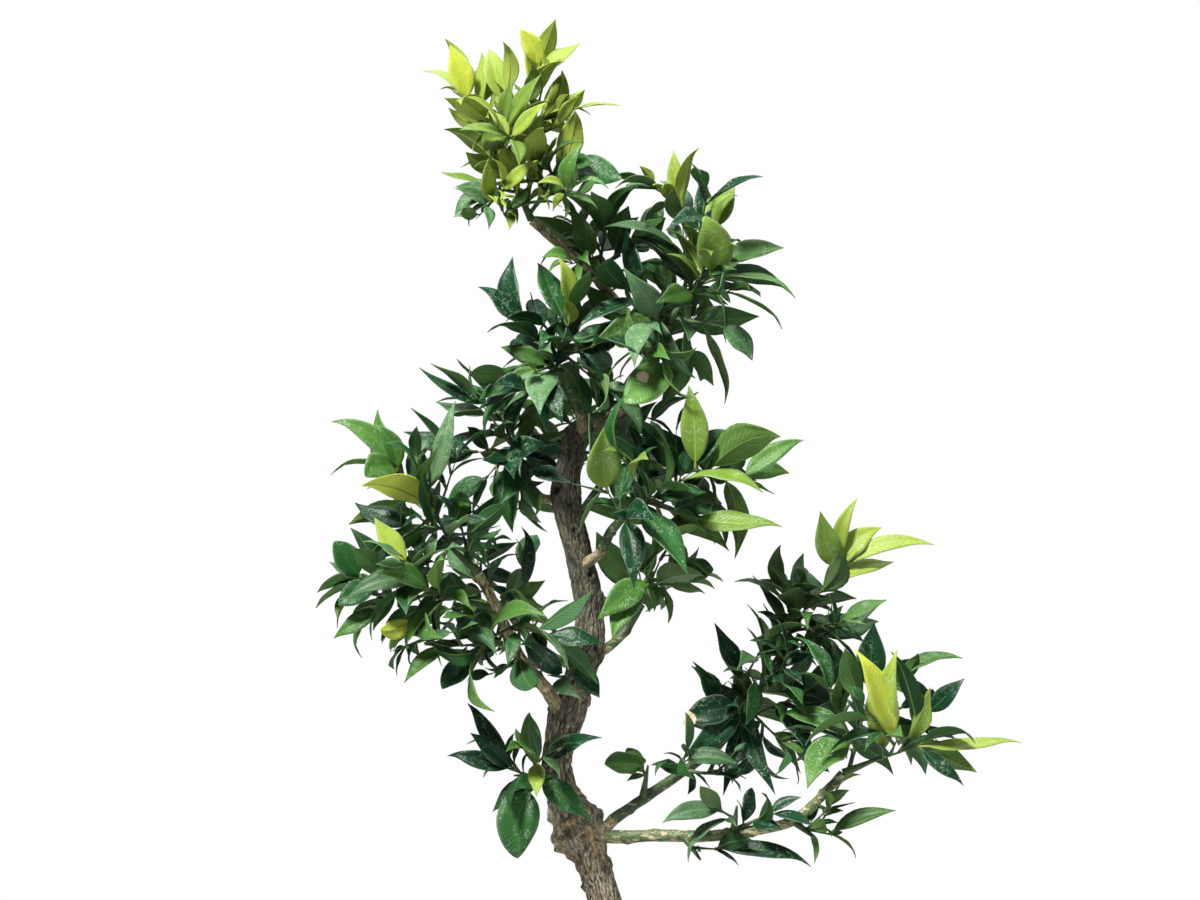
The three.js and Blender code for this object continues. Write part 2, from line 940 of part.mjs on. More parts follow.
// True if the stretch from start to end passes through the triangle.
function pierces(start, end, a, b, c) {
  const along = end.clone().sub(start);
  const side = b.clone().sub(a);
  const other = c.clone().sub(a);
  const across = new THREE.Vector3().crossVectors(along, other);
  const scale = side.dot(across);
  if (Math.abs(scale) < 1e-9) return false;
  const offset = start.clone().sub(a);
  const first = offset.dot(across) / scale;
  const turned = new THREE.Vector3().crossVectors(offset, side);
  const second = along.dot(turned) / scale;
  const reached = other.dot(turned) / scale;
  return first >= 0 && second >= 0 && first + second <= 1 && reached >= 0 && reached <= 1;
}

function edgesPierce(one, two) {
  return one.edges.some(([start, end]) =>
    two.faces.some(([a, b, c]) =>
      pierces(one.corners[start], one.corners[end], two.corners[a], two.corners[b], two.corners[c]),
    ),
  );
}

const settled = []; // what has grown so far

function clashes(shape, owner) {
  return settled.some(
    (other) =>
      other.owner !== owner &&
      other.centre.distanceTo(shape.centre) < other.reach + shape.reach &&
      (edgesPierce(shape, other) || edgesPierce(other, shape)),
  );
}

const limbSamples = Object.values(limbs).flatMap(({ curve, radiusAt }) =>
  Array.from({ length: LIMB_STEPS + 1 }, (_, i) => {
    const along = i / LIMB_STEPS;
    return { point: curve.getPoint(along), radius: radiusAt(along) };
  }),
);

function clearOfLimbs(points, centre, reach, margin) {
  const near = limbSamples.filter(({ point, radius }) => point.distanceTo(centre) < reach + radius + margin);
  return near.every(({ point, radius }) => points.every((p) => p.distanceTo(point) > radius + margin));
}

function insideSpace(point, [centre, half]) {
  const away = [point.x - centre[0], point.y - centre[1], point.z - centre[2]];
  return away.reduce((sum, distance, i) => sum + (distance / half[i]) ** SPACE_POWER, 0) < 1;
}

// A twig tapers to a point a little past its end, and a long one bends in the middle towards its knee.
// phase: the bearing of its first leaf.
function makeTwig(kind, start, knee, end, foot, phase) {
  const length = start.distanceTo(end);
  const middle = start.clone().multiplyScalar(0.25).addScaledVector(knee, 0.5).addScaledVector(end, 0.25);
  const joints = length < BEND_FROM ? [start, end] : [start, middle, end];
  const nodes = Math.max(2, Math.round((length * (LEAFY[1] - LEAFY[0])) / NODE_SPACING) + 1);
  return { kind, joints, length, foot, phase, nodes };
}

const nodeAlong = (twig, node) => mix(...LEAFY, node / (twig.nodes - 1));
const radiusOf = (twig, along) => twig.foot * (1 - (along * twig.length) / (twig.length + BUD[twig.kind]));

function stretchOf({ joints }, along) {
  const stretches = joints.length - 1;
  const step = Math.min(Math.floor(along * stretches), stretches - 1);
  return [joints[step], joints[step + 1], along * stretches - step];
}

function pointOn(twig, along) {
  const [low, high, share] = stretchOf(twig, along);
  return low.clone().lerp(high, share);
}

function axisOn(twig, along) {
  const [low, high] = stretchOf(twig, along);
  return high.clone().sub(low).normalize();
}

// The direction square to an axis that lies at an angle round it.
function radialOf(axis, turn) {
  const side = new THREE.Vector3().crossVectors(Math.abs(axis.z) < 0.8 ? up : new THREE.Vector3(0, 1, 0), axis);
  const other = new THREE.Vector3().crossVectors(axis, side.normalize());
  return side.multiplyScalar(Math.cos(turn)).addScaledVector(other, Math.sin(turn));
}

// A twig as rings of corners that run up to its bud, each flat side of a shoot under some of its leaves.
function twigShape(twig, sides, margin) {
  const turn = twig.phase + ((twig.nodes - 1) / 2) * (GOLDEN_ANGLE - (2 * Math.PI) / 3) + Math.PI / 3;
  const rings = twig.joints.length - 1;
  const corners = [];
  for (let ring = 0; ring < rings; ring += 1) {
    const along = ring / rings;
    const before = axisOn(twig, Math.max(along - 0.01, 0));
    const axis = before.add(axisOn(twig, along)).normalize();
    for (let i = 0; i < sides; i += 1) {
      const way = radialOf(axis, turn + (i * 2 * Math.PI) / sides);
      corners.push(pointOn(twig, along).addScaledVector(way, radiusOf(twig, along) + margin));
    }
  }
  corners.push(pointOn(twig, 1).addScaledVector(axisOn(twig, 1), BUD[twig.kind]));
  const bud = corners.length - 1;
  const faces = [];
  for (let i = 1; i < sides - 1; i += 1) faces.push([0, i + 1, i]);
  for (let i = 0; i < sides; i += 1) {
    const next = (i + 1) % sides;
    for (let low = 0; low < (rings - 1) * sides; low += sides)
      faces.push([low + i, low + next, low + sides + next], [low + i, low + sides + next, low + sides + i]);
    faces.push([bud - sides + i, bud - sides + next, bud]);
  }
  return makeShape(corners, faces);
}

// The cheapest way from the twigs to a point: short, and little turned back from the way that the twig runs.
function forkTo(twigs, tip, stiffness, shortest, only) {
  let best = { cost: Infinity };
  twigs.forEach((twig, place) => {
    if (only && place !== only) return;
    for (let step = 2; step <= FORK_STEPS; step += 1) {
      const along = step / FORK_STEPS;
      const start = pointOn(twig, along);
      const axis = axisOn(twig, along);
      const run = tip.clone().sub(start);
      const length = run.length();
      const cost = length * (stiffness - axis.dot(run) / length);
      const wood = radiusOf(twig, along);
      if (length > shortest && cost < best.cost) best = { cost, start, axis, run, length, wood, place };
    }
  });
  return best;
}

function mainShoot(twigs, tip, random) {
  const { start, axis, run, length, wood } = forkTo(twigs, tip, FORK_STIFFNESS, 0);
  const sway = new THREE.Vector3(random() - 0.5, random() - 0.5, random() - 0.5);
  const knee = start
    .clone()
    .addScaledVector(axis, length * KNEE_ALONG_PARENT)
    .addScaledVector(run, KNEE_ALONG_RUN)
    .add(sway.multiplyScalar(length * KNEE_SWAY));
  const foot = Math.max(wood * SHOOT_SHARE, THINNEST_FOOT);
  return makeTwig("shoot", start, knee, tip, foot, random() * 2 * Math.PI);
}

// A side shoot forks off a main shoot at the golden angle from the one before, and lifts towards the light.
function sideShoot(parent, index, random) {
  const along = mix(...SIDE_START, random());
  const length = mix(...SIDE_LENGTH, random());
  const turn = index * GOLDEN_ANGLE + random();
  const lift = mix(...SIDE_LIFT, random());
  const phase = random() * 2 * Math.PI;
  const start = pointOn(parent, along);
  const way = radialOf(axisOn(parent, along), turn)
    .addScaledVector(axisOn(parent, along), SIDE_FORWARD)
    .addScaledVector(up, lift)
    .normalize();
  const knee = start.clone().addScaledVector(way, length * 0.5);
  const end = start
    .clone()
    .addScaledVector(way, length)
    .addScaledVector(up, length * SIDE_RISE);
  const foot = Math.max(radiusOf(parent, along) * SHOOT_SHARE, THINNEST_FOOT);
  return makeTwig("side", start, knee, end, foot, phase);
}

// A leaf runs from its foot along way, with its upper side towards face. It droops by curl and its edges are
// lifted by fold, both as shares, of its length and of its width.
function makeLeaf(foot, way, face, length, width, curl, fold) {
  const side = new THREE.Vector3().crossVectors(way, face).normalize();
  const at = (forward, sideways, rise) =>
    foot
      .clone()
      .addScaledVector(way, forward * length)
      .addScaledVector(side, sideways * width)
      .addScaledVector(face, rise - forward * curl * length);
  const lift = LEAF_THICKNESS / 2 + fold * width;
  const blade = LEAF_OUTLINE.flatMap(([forward, half]) => [
    at(forward, -half, lift * 2 * half),
    at(forward, half, lift * 2 * half),
  ]);
  const rest = [...blade, at(LEAF_RIDGE, 0, LEAF_THICKNESS), at(1, 0, 0)];
  const root = foot.clone().addScaledVector(way, -ROOT_DEPTH);
  return { root, rest, stalk: at(LEAF_STALK, 0, 0), tip: at(1, 0, 0) };
}

// A closed blade of ten faces, folded along the midrib: corner 0 is its root or stalk, 1 to 4 are its left and
// right edges, 5 is its ridge and 6 its tip.
const bladeFaces = [
  [0, 2, 5],
  [2, 4, 5],
  [4, 6, 5],
  [6, 3, 5],
  [3, 1, 5],
  [1, 0, 5],
  [0, 1, 6],
  [1, 3, 6],
  [0, 6, 2],
  [2, 6, 4],
];

// Keeps a leaf if it stays in its mass's space, off the bark and clear of what has grown before it.
function settle(leaf, space, owner) {
  if (!insideSpace(leaf.tip, space)) return false;
  const shape = makeShape([leaf.stalk, ...leaf.rest], bladeFaces);
  const onEdges = shape.edges.flatMap(([start, end]) =>
    EDGE_STEPS.map((share) => shape.corners[start].clone().lerp(shape.corners[end], share)),
  );
  const onFaces = shape.faces.map(([a, b, c]) =>
    shape.corners[a].clone().add(shape.corners[b]).add(shape.corners[c]).divideScalar(3),
  );
  if (!clearOfLimbs([...onEdges, ...onFaces], shape.centre, shape.reach, LIMB_MARGIN)) return false;
  if (clashes(shape, owner)) return false;
  settled.push({ ...shape, owner: null });
  return true;
}

// A leaf that stands out grows straight to its named tip, its upper side turned up and to the front.
function standoutLeaf(twigs, [x, y, z, width, shoot]) {
  const tip = vector([x, y, z]);
  const { start, run, length, place } = forkTo(twigs, tip, STANDOUT_STIFFNESS, STANDOUT_LENGTH, shoot);
  const way = run.normalize();
  const face = vector(STANDOUT_FACE);
  face.addScaledVector(way, -face.dot(way)).normalize();
  return { place, ...makeLeaf(start, way, face, length, width, 0, STANDOUT_FOLD) };
}

// Other leaves stand round their twig at the golden angle, closer to its line towards its tip.
function seededLeaf(plan, twig, node, random, owner) {
  const share = node / (twig.nodes - 1);
  const atEnd = share > LAST_LEAVES.from ? LAST_LEAVES.size : 1;
  const onSide = twig.kind === "side" ? SIDE_LEAF_SIZE : 1;
  const size = plan.leaf * mix(...LEAF_SIZE, random()) * atEnd * onSide;
  const slender = mix(...LEAF_WIDTH, random());
  const turn = twig.phase + node * GOLDEN_ANGLE + (random() - 0.5) * TURN_PLAY;
  const spread = mix(...SPREAD, share ** SPREAD_POWER) + (random() - 0.5) * SPREAD_PLAY;
  const roll = (random() - 0.5) * ROLL_PLAY;
  const curl = mix(...CURL, random());
  const fold = mix(...FOLD, random());
  const along = nodeAlong(twig, node);
  const foot = pointOn(twig, along);
  const axis = axisOn(twig, along);
  for (let attempt = 0; attempt < TRIES; attempt += 1) {
    const aside = (attempt % 2 ? 1 : -1) * Math.ceil(attempt / 2) * TURN_ASIDE;
    const radial = radialOf(axis, turn + aside);
    const way = axis
      .clone()
      .multiplyScalar(Math.cos(spread))
      .addScaledVector(radial, Math.sin(spread))
      .addScaledVector(up, plan.young ? RISE.young : RISE.mature)
      .normalize();
    const face = axis
      .clone()
      .multiplyScalar(FACE_PULL.axis)
      .addScaledVector(up, FACE_PULL.up)
      .addScaledVector(radial, FACE_PULL.radial);
    face.addScaledVector(way, -face.dot(way)).normalize();
    const rolled = new THREE.Vector3().crossVectors(way, face).multiplyScalar(Math.sin(roll));
    rolled.addScaledVector(face, Math.cos(roll));
    const length = size * SHRINK ** attempt;
    const leaf = makeLeaf(foot, way, rolled, length, length * slender, curl, fold);
    if (settle(leaf, plan.space, owner)) return leaf;
  }
  return null;
}

// First every mass grows its main shoots and the leaves that stand out, so that all others keep clear of them.
const SHOOT_SIDES = 3;
const STEM_SIDES = 5;
const sidesOf = (twig) => (twig.kind === "stem" ? STEM_SIDES : SHOOT_SIDES);
const crowns = Object.entries(masses).map(([name, plan]) => {
  const random = randomFrom(plan.seed);
  const [carrier, along] = plan.seat;
  const { curve, radiusAt } = limbs[carrier];
  const heart = vector(plan.heart);
  const atTip = along === 1;
  const seat = atTip ? curve.getPoint(1).addScaledVector(curve.getTangent(1), CLEAR) : curve.getPoint(along);
  const lean = atTip ? curve.getTangent(1) : heart.clone().sub(seat).normalize();
  const knee = seat.clone().addScaledVector(lean, seat.distanceTo(heart) * STEM_KNEE);
  const twigs = [makeTwig("stem", seat, knee, heart, atTip ? radiusAt(1) : STEM_RADIUS, 0)];
  for (const tip of plan.tips) twigs.push(mainShoot(twigs, vector(tip), random));
  return { name, plan, random, twigs, leaves: [] };
});
for (const { name, twigs } of crowns)
  twigs.forEach((twig, i) => settled.push({ ...twigShape(twig, sidesOf(twig), TWIG_MARGIN), owner: name + i }));
for (const { name, plan, twigs, leaves } of crowns)
  for (const standout of plan.standouts) {
    const leaf = standoutLeaf(twigs, standout);
    if (settle(leaf, plan.space, name + leaf.place)) leaves.push(leaf);
  }
for (const { name, plan, random, twigs } of crowns) {
  const mains = twigs.slice(1);
  for (let i = 0; i < plan.sideShoots; i += 1) {
    const place = i % mains.length;
    const side = sideShoot(mains[place], i, random);
    const path = [0.3, 0.5, 0.7, 0.9, 1].map((along) => pointOn(side, along));
    const shape = twigShape(side, SHOOT_SIDES, TWIG_MARGIN);
    const offBark = clearOfLimbs(path, shape.centre, shape.reach, LIMB_MARGIN + side.foot);
    if (offBark && insideSpace(path[4], plan.space) && !clashes(shape, name + (place + 1))) {
      settled.push({ ...shape, owner: name + twigs.length });
      twigs.push(side);
    }
  }
}
for (const { name, plan, random, twigs, leaves } of crowns)
  twigs.forEach((twig, i) => {
    for (let node = 0; twig.kind !== "stem" && node < twig.nodes; node += 1) {
      const leaf = seededLeaf(plan, twig, node, random, name + i);
      if (leaf) leaves.push(leaf);
    }
  });

// A mass as one solid: its stem, its twigs, and its leaves sunk into them, cut clear of every limb.
const allLimbs = wasm.Manifold.union(Object.values(grownLimbs));
for (const { name, plan, twigs, leaves } of crowns) {
  const bars = twigs.map((twig) => shapeSolid(twigShape(twig, sidesOf(twig), 0)));
  const blades = leaves.map(({ root, rest }) => shapeSolid(makeShape([root, ...rest], bladeFaces)));
  const joined = wasm.Manifold.union([...bars, ...blades]).subtract(allLimbs);
  addPiece(name, wholeBody(joined), plan.young ? youngLeaf : matureLeaf);
}

export default tree;
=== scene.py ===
# A myrtle-leaf orange grown as a bonsai, standing in its pot: its looks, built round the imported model.
import math

import bpy
import numpy as np
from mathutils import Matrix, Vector, noise


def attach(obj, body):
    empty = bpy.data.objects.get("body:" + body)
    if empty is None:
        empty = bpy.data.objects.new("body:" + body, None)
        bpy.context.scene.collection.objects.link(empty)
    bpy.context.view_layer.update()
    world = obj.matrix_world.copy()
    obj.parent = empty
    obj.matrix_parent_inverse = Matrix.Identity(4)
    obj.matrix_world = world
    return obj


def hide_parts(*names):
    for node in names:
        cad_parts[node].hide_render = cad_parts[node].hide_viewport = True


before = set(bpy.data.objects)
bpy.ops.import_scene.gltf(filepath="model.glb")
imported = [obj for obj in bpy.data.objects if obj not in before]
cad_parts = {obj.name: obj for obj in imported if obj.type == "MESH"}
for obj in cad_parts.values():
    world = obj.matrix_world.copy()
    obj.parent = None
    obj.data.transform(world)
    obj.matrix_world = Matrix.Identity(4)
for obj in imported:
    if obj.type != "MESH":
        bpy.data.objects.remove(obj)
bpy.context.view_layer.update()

# The pot is an unglazed clay oval, thrown round and drawn out along its length, with a rolled rim and a low
# plinth whose arches leave four feet. It is one closed mesh of rings round the upright axis. The clay is matt
# brown with fine dark grains, and is rubbed a little paler at the rim.
POT_LENGTH = 250
POT_WIDTH = 190
POT_DRAW = POT_LENGTH / POT_WIDTH
POT_SEGMENTS = 192
PLINTH_RADIUS = 75
FOOT_RING_WIDTH = 12
ARCH_HEIGHT = 5
ARCH_SPANS = (110, 70)  # along the long sides, and across the ends
ARCH_SHOULDER = 14
CLAY_BROWN = (0.102, 0.054, 0.034)
CLAY_DARK = (0.052, 0.029, 0.02)
CLAY_RUBBED = (0.19, 0.115, 0.076)
MM = 0.001


class Value:
    """A number or colour on its way through a material. Sums with numbers or other values add Math nodes."""

    def __init__(self, tree, socket):
        self.tree = tree
        self.socket = socket

    def maths(self, operation, *inputs):
        return self.tree.node("Math", {"operation": operation}, *inputs)

    def __add__(self, other):
        return self.maths("ADD", self, other)

    def __mul__(self, other):
        return self.maths("MULTIPLY", self, other)

    def __sub__(self, other):
        return self.maths("SUBTRACT", self, other)

    def __rsub__(self, other):
        return self.maths("SUBTRACT", other, self)

    def __pow__(self, other):
        return self.maths("POWER", self, other)

    def __abs__(self):
        return self.maths("ABSOLUTE", self)

    __radd__ = __add__
    __rmul__ = __mul__

    def between(self, low, high):
        """0 below low, 1 above high and smooth from one to the other."""
        settings = {"interpolation_type": "SMOOTHSTEP"}
        return self.tree.node("MapRange", settings, self, low, high, 0.0, 1.0)


class ShaderTree:
    """The nodes of a material or of the room."""

    def __init__(self, owner):
        owner.use_nodes = True
        self.nodes = owner.node_tree.nodes
        self.links = owner.node_tree.links

    def feed(self, socket, value):
        """Gives a socket its number, colour or link."""
        if isinstance(value, Value):
            self.links.new(value.socket, socket)
        elif value is not None:
            socket.default_value = (*value, 1) if socket.type == "RGBA" else value

    def node(self, kind, settings=None, *inputs, output=0, **named):
        """Adds a node: its settings first, then the values or links of its sockets, by place or by name."""
        made = self.nodes.new("ShaderNode" + kind)
        for name, value in (settings or {}).items():
            setattr(made, name, value)
        for place, value in enumerate(inputs):
            self.feed(made.inputs[place], value)
        for name, value in named.items():
            self.feed(made.inputs[name], value)
        return Value(self, made.outputs[output])


class Finish(ShaderTree):
    """A material with one Principled shader."""

    def __init__(self, name, **constants):
        self.material = bpy.data.materials.new(name)
        super().__init__(self.material)
        self.shader = self.nodes["Principled BSDF"]
        for socket, value in constants.items():
            self.feed(self.shader.inputs[socket.replace("_", " ")], value)

    def place(self):
        """The place on the tree, in millimetres."""
        return self.stretched(self.node("TexCoord", output="Object"), (1 / MM, 1 / MM, 1 / MM))

    def stretched(self, where, scale):
        return self.node("VectorMath", {"operation": "MULTIPLY"}, where, scale)

    def mark(self, name):
        """The number that make_piece gave each corner under this name."""
        return self.node("Attribute", {"attribute_name": name}, output="Fac")

    def cloud(self, where, size, detail=3.0, roughness=0.55):
        """Noise whose features are about size across."""
        return self.node("TexNoise", None, Vector=where, Scale=1 / size, Detail=detail, Roughness=roughness)

    def blend(self, share, first, second):
        """The first colour where share is 0 and the second where it is 1."""
        return self.node("Mix", {"data_type": "RGBA"}, share, *[None] * 5, first, second, output=2)

    def wear(self, colour, roughness=None, relief=None, relief_depth=0):
        """Feeds the shader. The depth of the relief is in millimetres."""
        self.feed(self.shader.inputs["Base Color"], colour)
        self.feed(self.shader.inputs["Roughness"], roughness)
        if relief:
            bump = self.node("Bump", None, Height=relief, Strength=1.0, Distance=relief_depth * MM)
            self.feed(self.shader.inputs["Normal"], bump)


def make_piece(name, corners, faces, materials, material_of=None, smooth=True, marks=None):
    """A mesh from corners in millimetres and rows of corner numbers. marks holds a number for each corner."""
    mesh = bpy.data.meshes.new(name)
    mesh.from_pydata((np.asarray(corners) * MM).tolist(), [], [list(face) for face in faces])
    for material in materials:
        mesh.materials.append(material)
    if material_of is not None:
        mesh.polygons.foreach_set("material_index", np.asarray(material_of, np.int32))
    mesh.polygons.foreach_set("use_smooth", np.full(len(mesh.polygons), smooth))
    for mark, numbers in (marks or {}).items():
        layer = mesh.attributes.new(mark, "FLOAT", "POINT")
        layer.data.foreach_set("value", np.asarray(numbers, np.float32))
    mesh.update()
    piece = bpy.data.objects.new(name, mesh)
    bpy.context.scene.collection.objects.link(piece)
    return piece


def closed_faces(rings, sides):
    """The faces of a closed body. Its corners come ring by ring, anticlockwise seen from the next ring, and
    then the middles of its first and of its last end."""
    here = np.arange(sides)
    there = (here + 1) % sides
    low = np.arange(rings - 1)[:, None] * sides
    walls = np.stack([low + here, low + there, low + sides + there, low + sides + here], axis=-1)
    last = (rings - 1) * sides
    first_end = np.stack([there, here, np.full(sides, rings * sides)], axis=-1)
    last_end = np.stack([last + here, last + there, np.full(sides, rings * sides + 1)], axis=-1)
    return walls.reshape(-1, 4).tolist() + first_end.tolist() + last_end.tolist()


pot_turns = np.arange(POT_SEGMENTS) * 2 * math.pi / POT_SEGMENTS


def arch_height(turn):
    """How high the plinth's lower edge stands above the ground."""
    x = abs(PLINTH_RADIUS * POT_DRAW * math.cos(turn))
    y = abs(PLINTH_RADIUS * math.sin(turn))
    inside = max(ARCH_SPANS[0] / 2 - x, ARCH_SPANS[1] / 2 - y)
    share = min(max(inside / ARCH_SHOULDER, 0), 1)
    return ARCH_HEIGHT * math.sqrt(1 - (1 - share) ** 2)


arches = np.array([arch_height(turn) for turn in pot_turns])
inner_plinth = PLINTH_RADIUS - FOOT_RING_WIDTH
# Each ring: its radius, its height, and how much of the arch it takes part in.
pot_profile = [(20, 0, 0), (45, 0, 0), (inner_plinth, 0, 0), (inner_plinth + 0.4, 0, 1), (70, 0, 1),
               (PLINTH_RADIUS - 0.7, 0, 1), (PLINTH_RADIUS, 0.6, 0.9), (75.9, 3.4, 0.5), (76.8, 6.4, 0),
               (76.9, 7.1, 0), (77.9, 7.9, 0), (80.2, 8.5, 0), (81.2, 9.4, 0), (82.1, 13, 0), (83.3, 20, 0),
               (85, 30, 0), (86.7, 40, 0), (88.2, 50, 0), (89.5, 60, 0), (90, 65, 0), (90.3, 66.6, 0),
               (91.2, 68, 0), (93.1, 68.7, 0), (94.2, 69.5, 0), (94.7, 71.4, 0), (95, 74.5, 0), (95, 77.4, 0),
               (94.6, 78.9, 0), (93.7, 79.7, 0), (92.4, 80, 0), (89, 80, 0), (87.8, 79.7, 0), (87.1, 78.8, 0),
               (86.2, 75, 0), (84.8, 68, 0), (80, 44, 0), (74, 15, 0), (40, 15, 0)]
THROWN = (10, 66)  # the heights between which the walls keep the marks of throwing
THROWING_DEPTH = 0.12
pot_rings = []
for radius, height, share in pot_profile:
    lift = np.maximum(height, share * arches + height * (1 - share))
    x, y = radius * POT_DRAW * np.cos(pot_turns), radius * np.sin(pot_turns)
    pot_rings.append(np.stack([x, y, lift], axis=1))
pot_corners = np.concatenate(pot_rings)
throwing = [math.sin(0.9 * z + 0.4 * noise.noise(Vector((x, y, z)) / 30)) if THROWN[0] < z < THROWN[1] else 0
            for x, y, z in pot_corners]
outward_share = THROWING_DEPTH * np.array(throwing) / np.hypot(pot_corners[:, 0], pot_corners[:, 1])
pot_corners[:, :2] *= 1 + outward_share[:, None]
pot_corners = np.vstack([pot_corners, [[0, 0, 0], [0, 0, 15]]])

clay = Finish("clay", Roughness=0.8)
clay_place = clay.place()
clay_height = clay.node("SeparateXYZ", None, clay_place, output="Z")
clay_tone = clay.cloud(clay_place, 22, 4).between(0.35, 0.7)
clay_grains = clay.cloud(clay_place, 1.1, 2).between(0.62, 0.72)
clay_rub = clay_height.between(74, 80) * clay.cloud(clay_place, 5, 4).between(0.35, 0.65)
clay_colour = clay.blend(clay_tone * 0.7, CLAY_BROWN, CLAY_DARK)
clay_colour = clay.blend(clay_rub * 0.6, clay_colour, CLAY_RUBBED)
clay_colour = clay.blend(clay_grains * 0.7, clay_colour, CLAY_DARK)
clay_relief = clay.cloud(clay_place, 0.9, 4) + clay.cloud(clay_place, 6, 3) * 0.8
clay.wear(clay_colour, 0.72 + clay_tone * 0.16, clay_relief, 0.25)

pot = make_piece("pot_body", pot_corners, closed_faces(len(pot_profile), POT_SEGMENTS), [clay.material])
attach(pot, "root")
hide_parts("pot")

# The soil is a free-draining mix of fired clay grains, pumice and dark grit, a little higher at the trunk.
# Its bed is a closed disc with a rough top. The grains lie on it in three colours, each kind one joined mesh.
SOIL_FLOOR = 40
SOIL_SKIRT = 0.92  # how far the floor of its mesh reaches, as a share of its rim
SOIL_EDGE = 68
SOIL_TOP = 73
SOIL_SEGMENTS = 160
SOIL_RINGS = 44
SOIL_RIM = 84.3
GRAIN_COUNT = 3300
GRAIN_SEED = 41
GRAIN_SIZES = (0.8, 2.1)  # from its middle to its outside
GRAIN_KNOCKS = (0.72, 1.12)  # how far each corner is knocked in or out
GRAIN_STRETCH = (0.8, 1.2)
GRAIN_FLATNESS = 0.8
GRAIN_LIFT = 0.35  # how far a grain's middle stands above the bed, as a share of its size
GRAIN_RIM = 1.5  # the rim's width that is kept free of grains
GRAIN_BED_DEPTH = 1.3  # how far the bed lies below the tops of the grains
LEVEL_GROUND = (16, 26, 44)  # the place of its middle along the pot, and where it gives way to lumps
SOIL_LUMP = 1.1
LUMP_WAVES = (7.5, 6.5)
TRUNK_FOOT_AT = (15.2, 0)
TRUNK_FOOT_ROOM = 15
SOIL_BROWN = (0.088, 0.056, 0.034)
SOIL_DARK = (0.03, 0.022, 0.016)


def smooth_share(value, low, high):
    share = min(max((value - low) / (high - low), 0), 1)
    return share * share * (3 - 2 * share)


def soil_height(x, y):
    """The soil's surface at a place: level at the trunk, lumpy beyond, and falling towards the rim."""
    inwards = 1 - math.hypot(x / POT_DRAW, y) / SOIL_RIM
    lumpy = smooth_share(math.hypot(x - LEVEL_GROUND[0], y), *LEVEL_GROUND[1:])
    lumps = SOIL_LUMP * lumpy * math.sin(x / LUMP_WAVES[0] + 0.8) * math.cos(y / LUMP_WAVES[1] - 0.4)
    mound = SOIL_EDGE + (SOIL_TOP - SOIL_EDGE) * smooth_share(inwards, 0, 0.6)
    mound += lumps * smooth_share(inwards, 0, 0.15)
    rough = 0.3 * noise.noise(Vector((x, y, 0)) / 14) + 0.4 * noise.noise(Vector((x, y, 9)) / 4)
    return mound - GRAIN_BED_DEPTH + rough


soil_turns = np.arange(SOIL_SEGMENTS) * 2 * math.pi / SOIL_SEGMENTS
soil_corners = []
for ring in range(SOIL_RINGS):
    radius = SOIL_RIM * (SOIL_RINGS - ring) / SOIL_RINGS
    for turn in soil_turns:
        x, y = radius * POT_DRAW * math.cos(turn), radius * math.sin(turn)
        soil_corners.append((x, y, soil_height(x, y)))
soil_skirt = [(x * SOIL_SKIRT, y * SOIL_SKIRT, SOIL_FLOOR) for x, y, _ in soil_corners[:SOIL_SEGMENTS]]
soil_corners = soil_skirt + soil_corners + [(0, 0, SOIL_FLOOR), (0, 0, soil_height(0, 0))]
soil_faces = closed_faces(SOIL_RINGS + 1, SOIL_SEGMENTS)

soil_finish = Finish("soil_bed", Roughness=0.95)
soil_place = soil_finish.place()
soil_tone = soil_finish.cloud(soil_place, 3, 5).between(0.35, 0.65)
soil_colour = soil_finish.blend(soil_tone, SOIL_DARK, SOIL_BROWN)
soil_finish.wear(soil_colour, None, soil_finish.cloud(soil_place, 1.2, 4), 0.8)
soil = make_piece("soil_bed", soil_corners, soil_faces, [soil_finish.material])
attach(soil, "root")
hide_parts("soil")

# One grain is an eight-sided block split once and knocked about.
grain_axes = [(1, 0, 0), (0, 1, 0), (-1, 0, 0), (0, -1, 0), (0, 0, 1), (0, 0, -1)]
grain_corners = [np.array(axis, float) for axis in grain_axes]
grain_faces = []
grain_middles = {}
for upper in (True, False):
    for side in range(4):
        block = (side, (side + 1) % 4, 4) if upper else ((side + 1) % 4, side, 5)
        middles = []
        for first, second in zip(block, block[1:] + block[:1]):
            key = frozenset((first, second))
            if key not in grain_middles:
                grain_middles[key] = len(grain_corners)
                middle = grain_corners[first] + grain_corners[second]
                grain_corners.append(middle / np.linalg.norm(middle))
            middles.append(grain_middles[key])
        one, two, three = middles
        grain_faces += [(block[0], one, three), (one, block[1], two), (three, two, block[2]),
                        (one, two, three)]
grain_corners = np.array(grain_corners)


def repeated(faces, count, corners_each):
    """The faces of one small body, again for each of count bodies whose corners follow each other."""
    return [[number * corners_each + corner for corner in face] for number in range(count) for face in faces]


grain_kinds = {
    "grains_fired": ((0.155, 0.085, 0.045), (0.09, 0.05, 0.028), 0.5),
    "grains_pumice": ((0.32, 0.27, 0.2), (0.2, 0.17, 0.125), 0.2),
    "grains_dark": ((0.05, 0.042, 0.036), (0.028, 0.024, 0.02), 0.3),
}
chance = np.random.RandomState(GRAIN_SEED)
grain_places = []
while len(grain_places) < GRAIN_COUNT:
    across, along = chance.uniform(-1, 1, 2)
    x, y = along * (SOIL_RIM - GRAIN_RIM) * POT_DRAW, across * (SOIL_RIM - GRAIN_RIM)
    clear_of_trunk = math.hypot(x - TRUNK_FOOT_AT[0], y - TRUNK_FOOT_AT[1]) > TRUNK_FOOT_ROOM
    if across ** 2 + along ** 2 < 1 and clear_of_trunk:
        grain_places.append((x, y, soil_height(x, y)))
grain_places = np.array(grain_places)
grain_draw = chance.uniform(0, 1, GRAIN_COUNT)
kind_from = 0
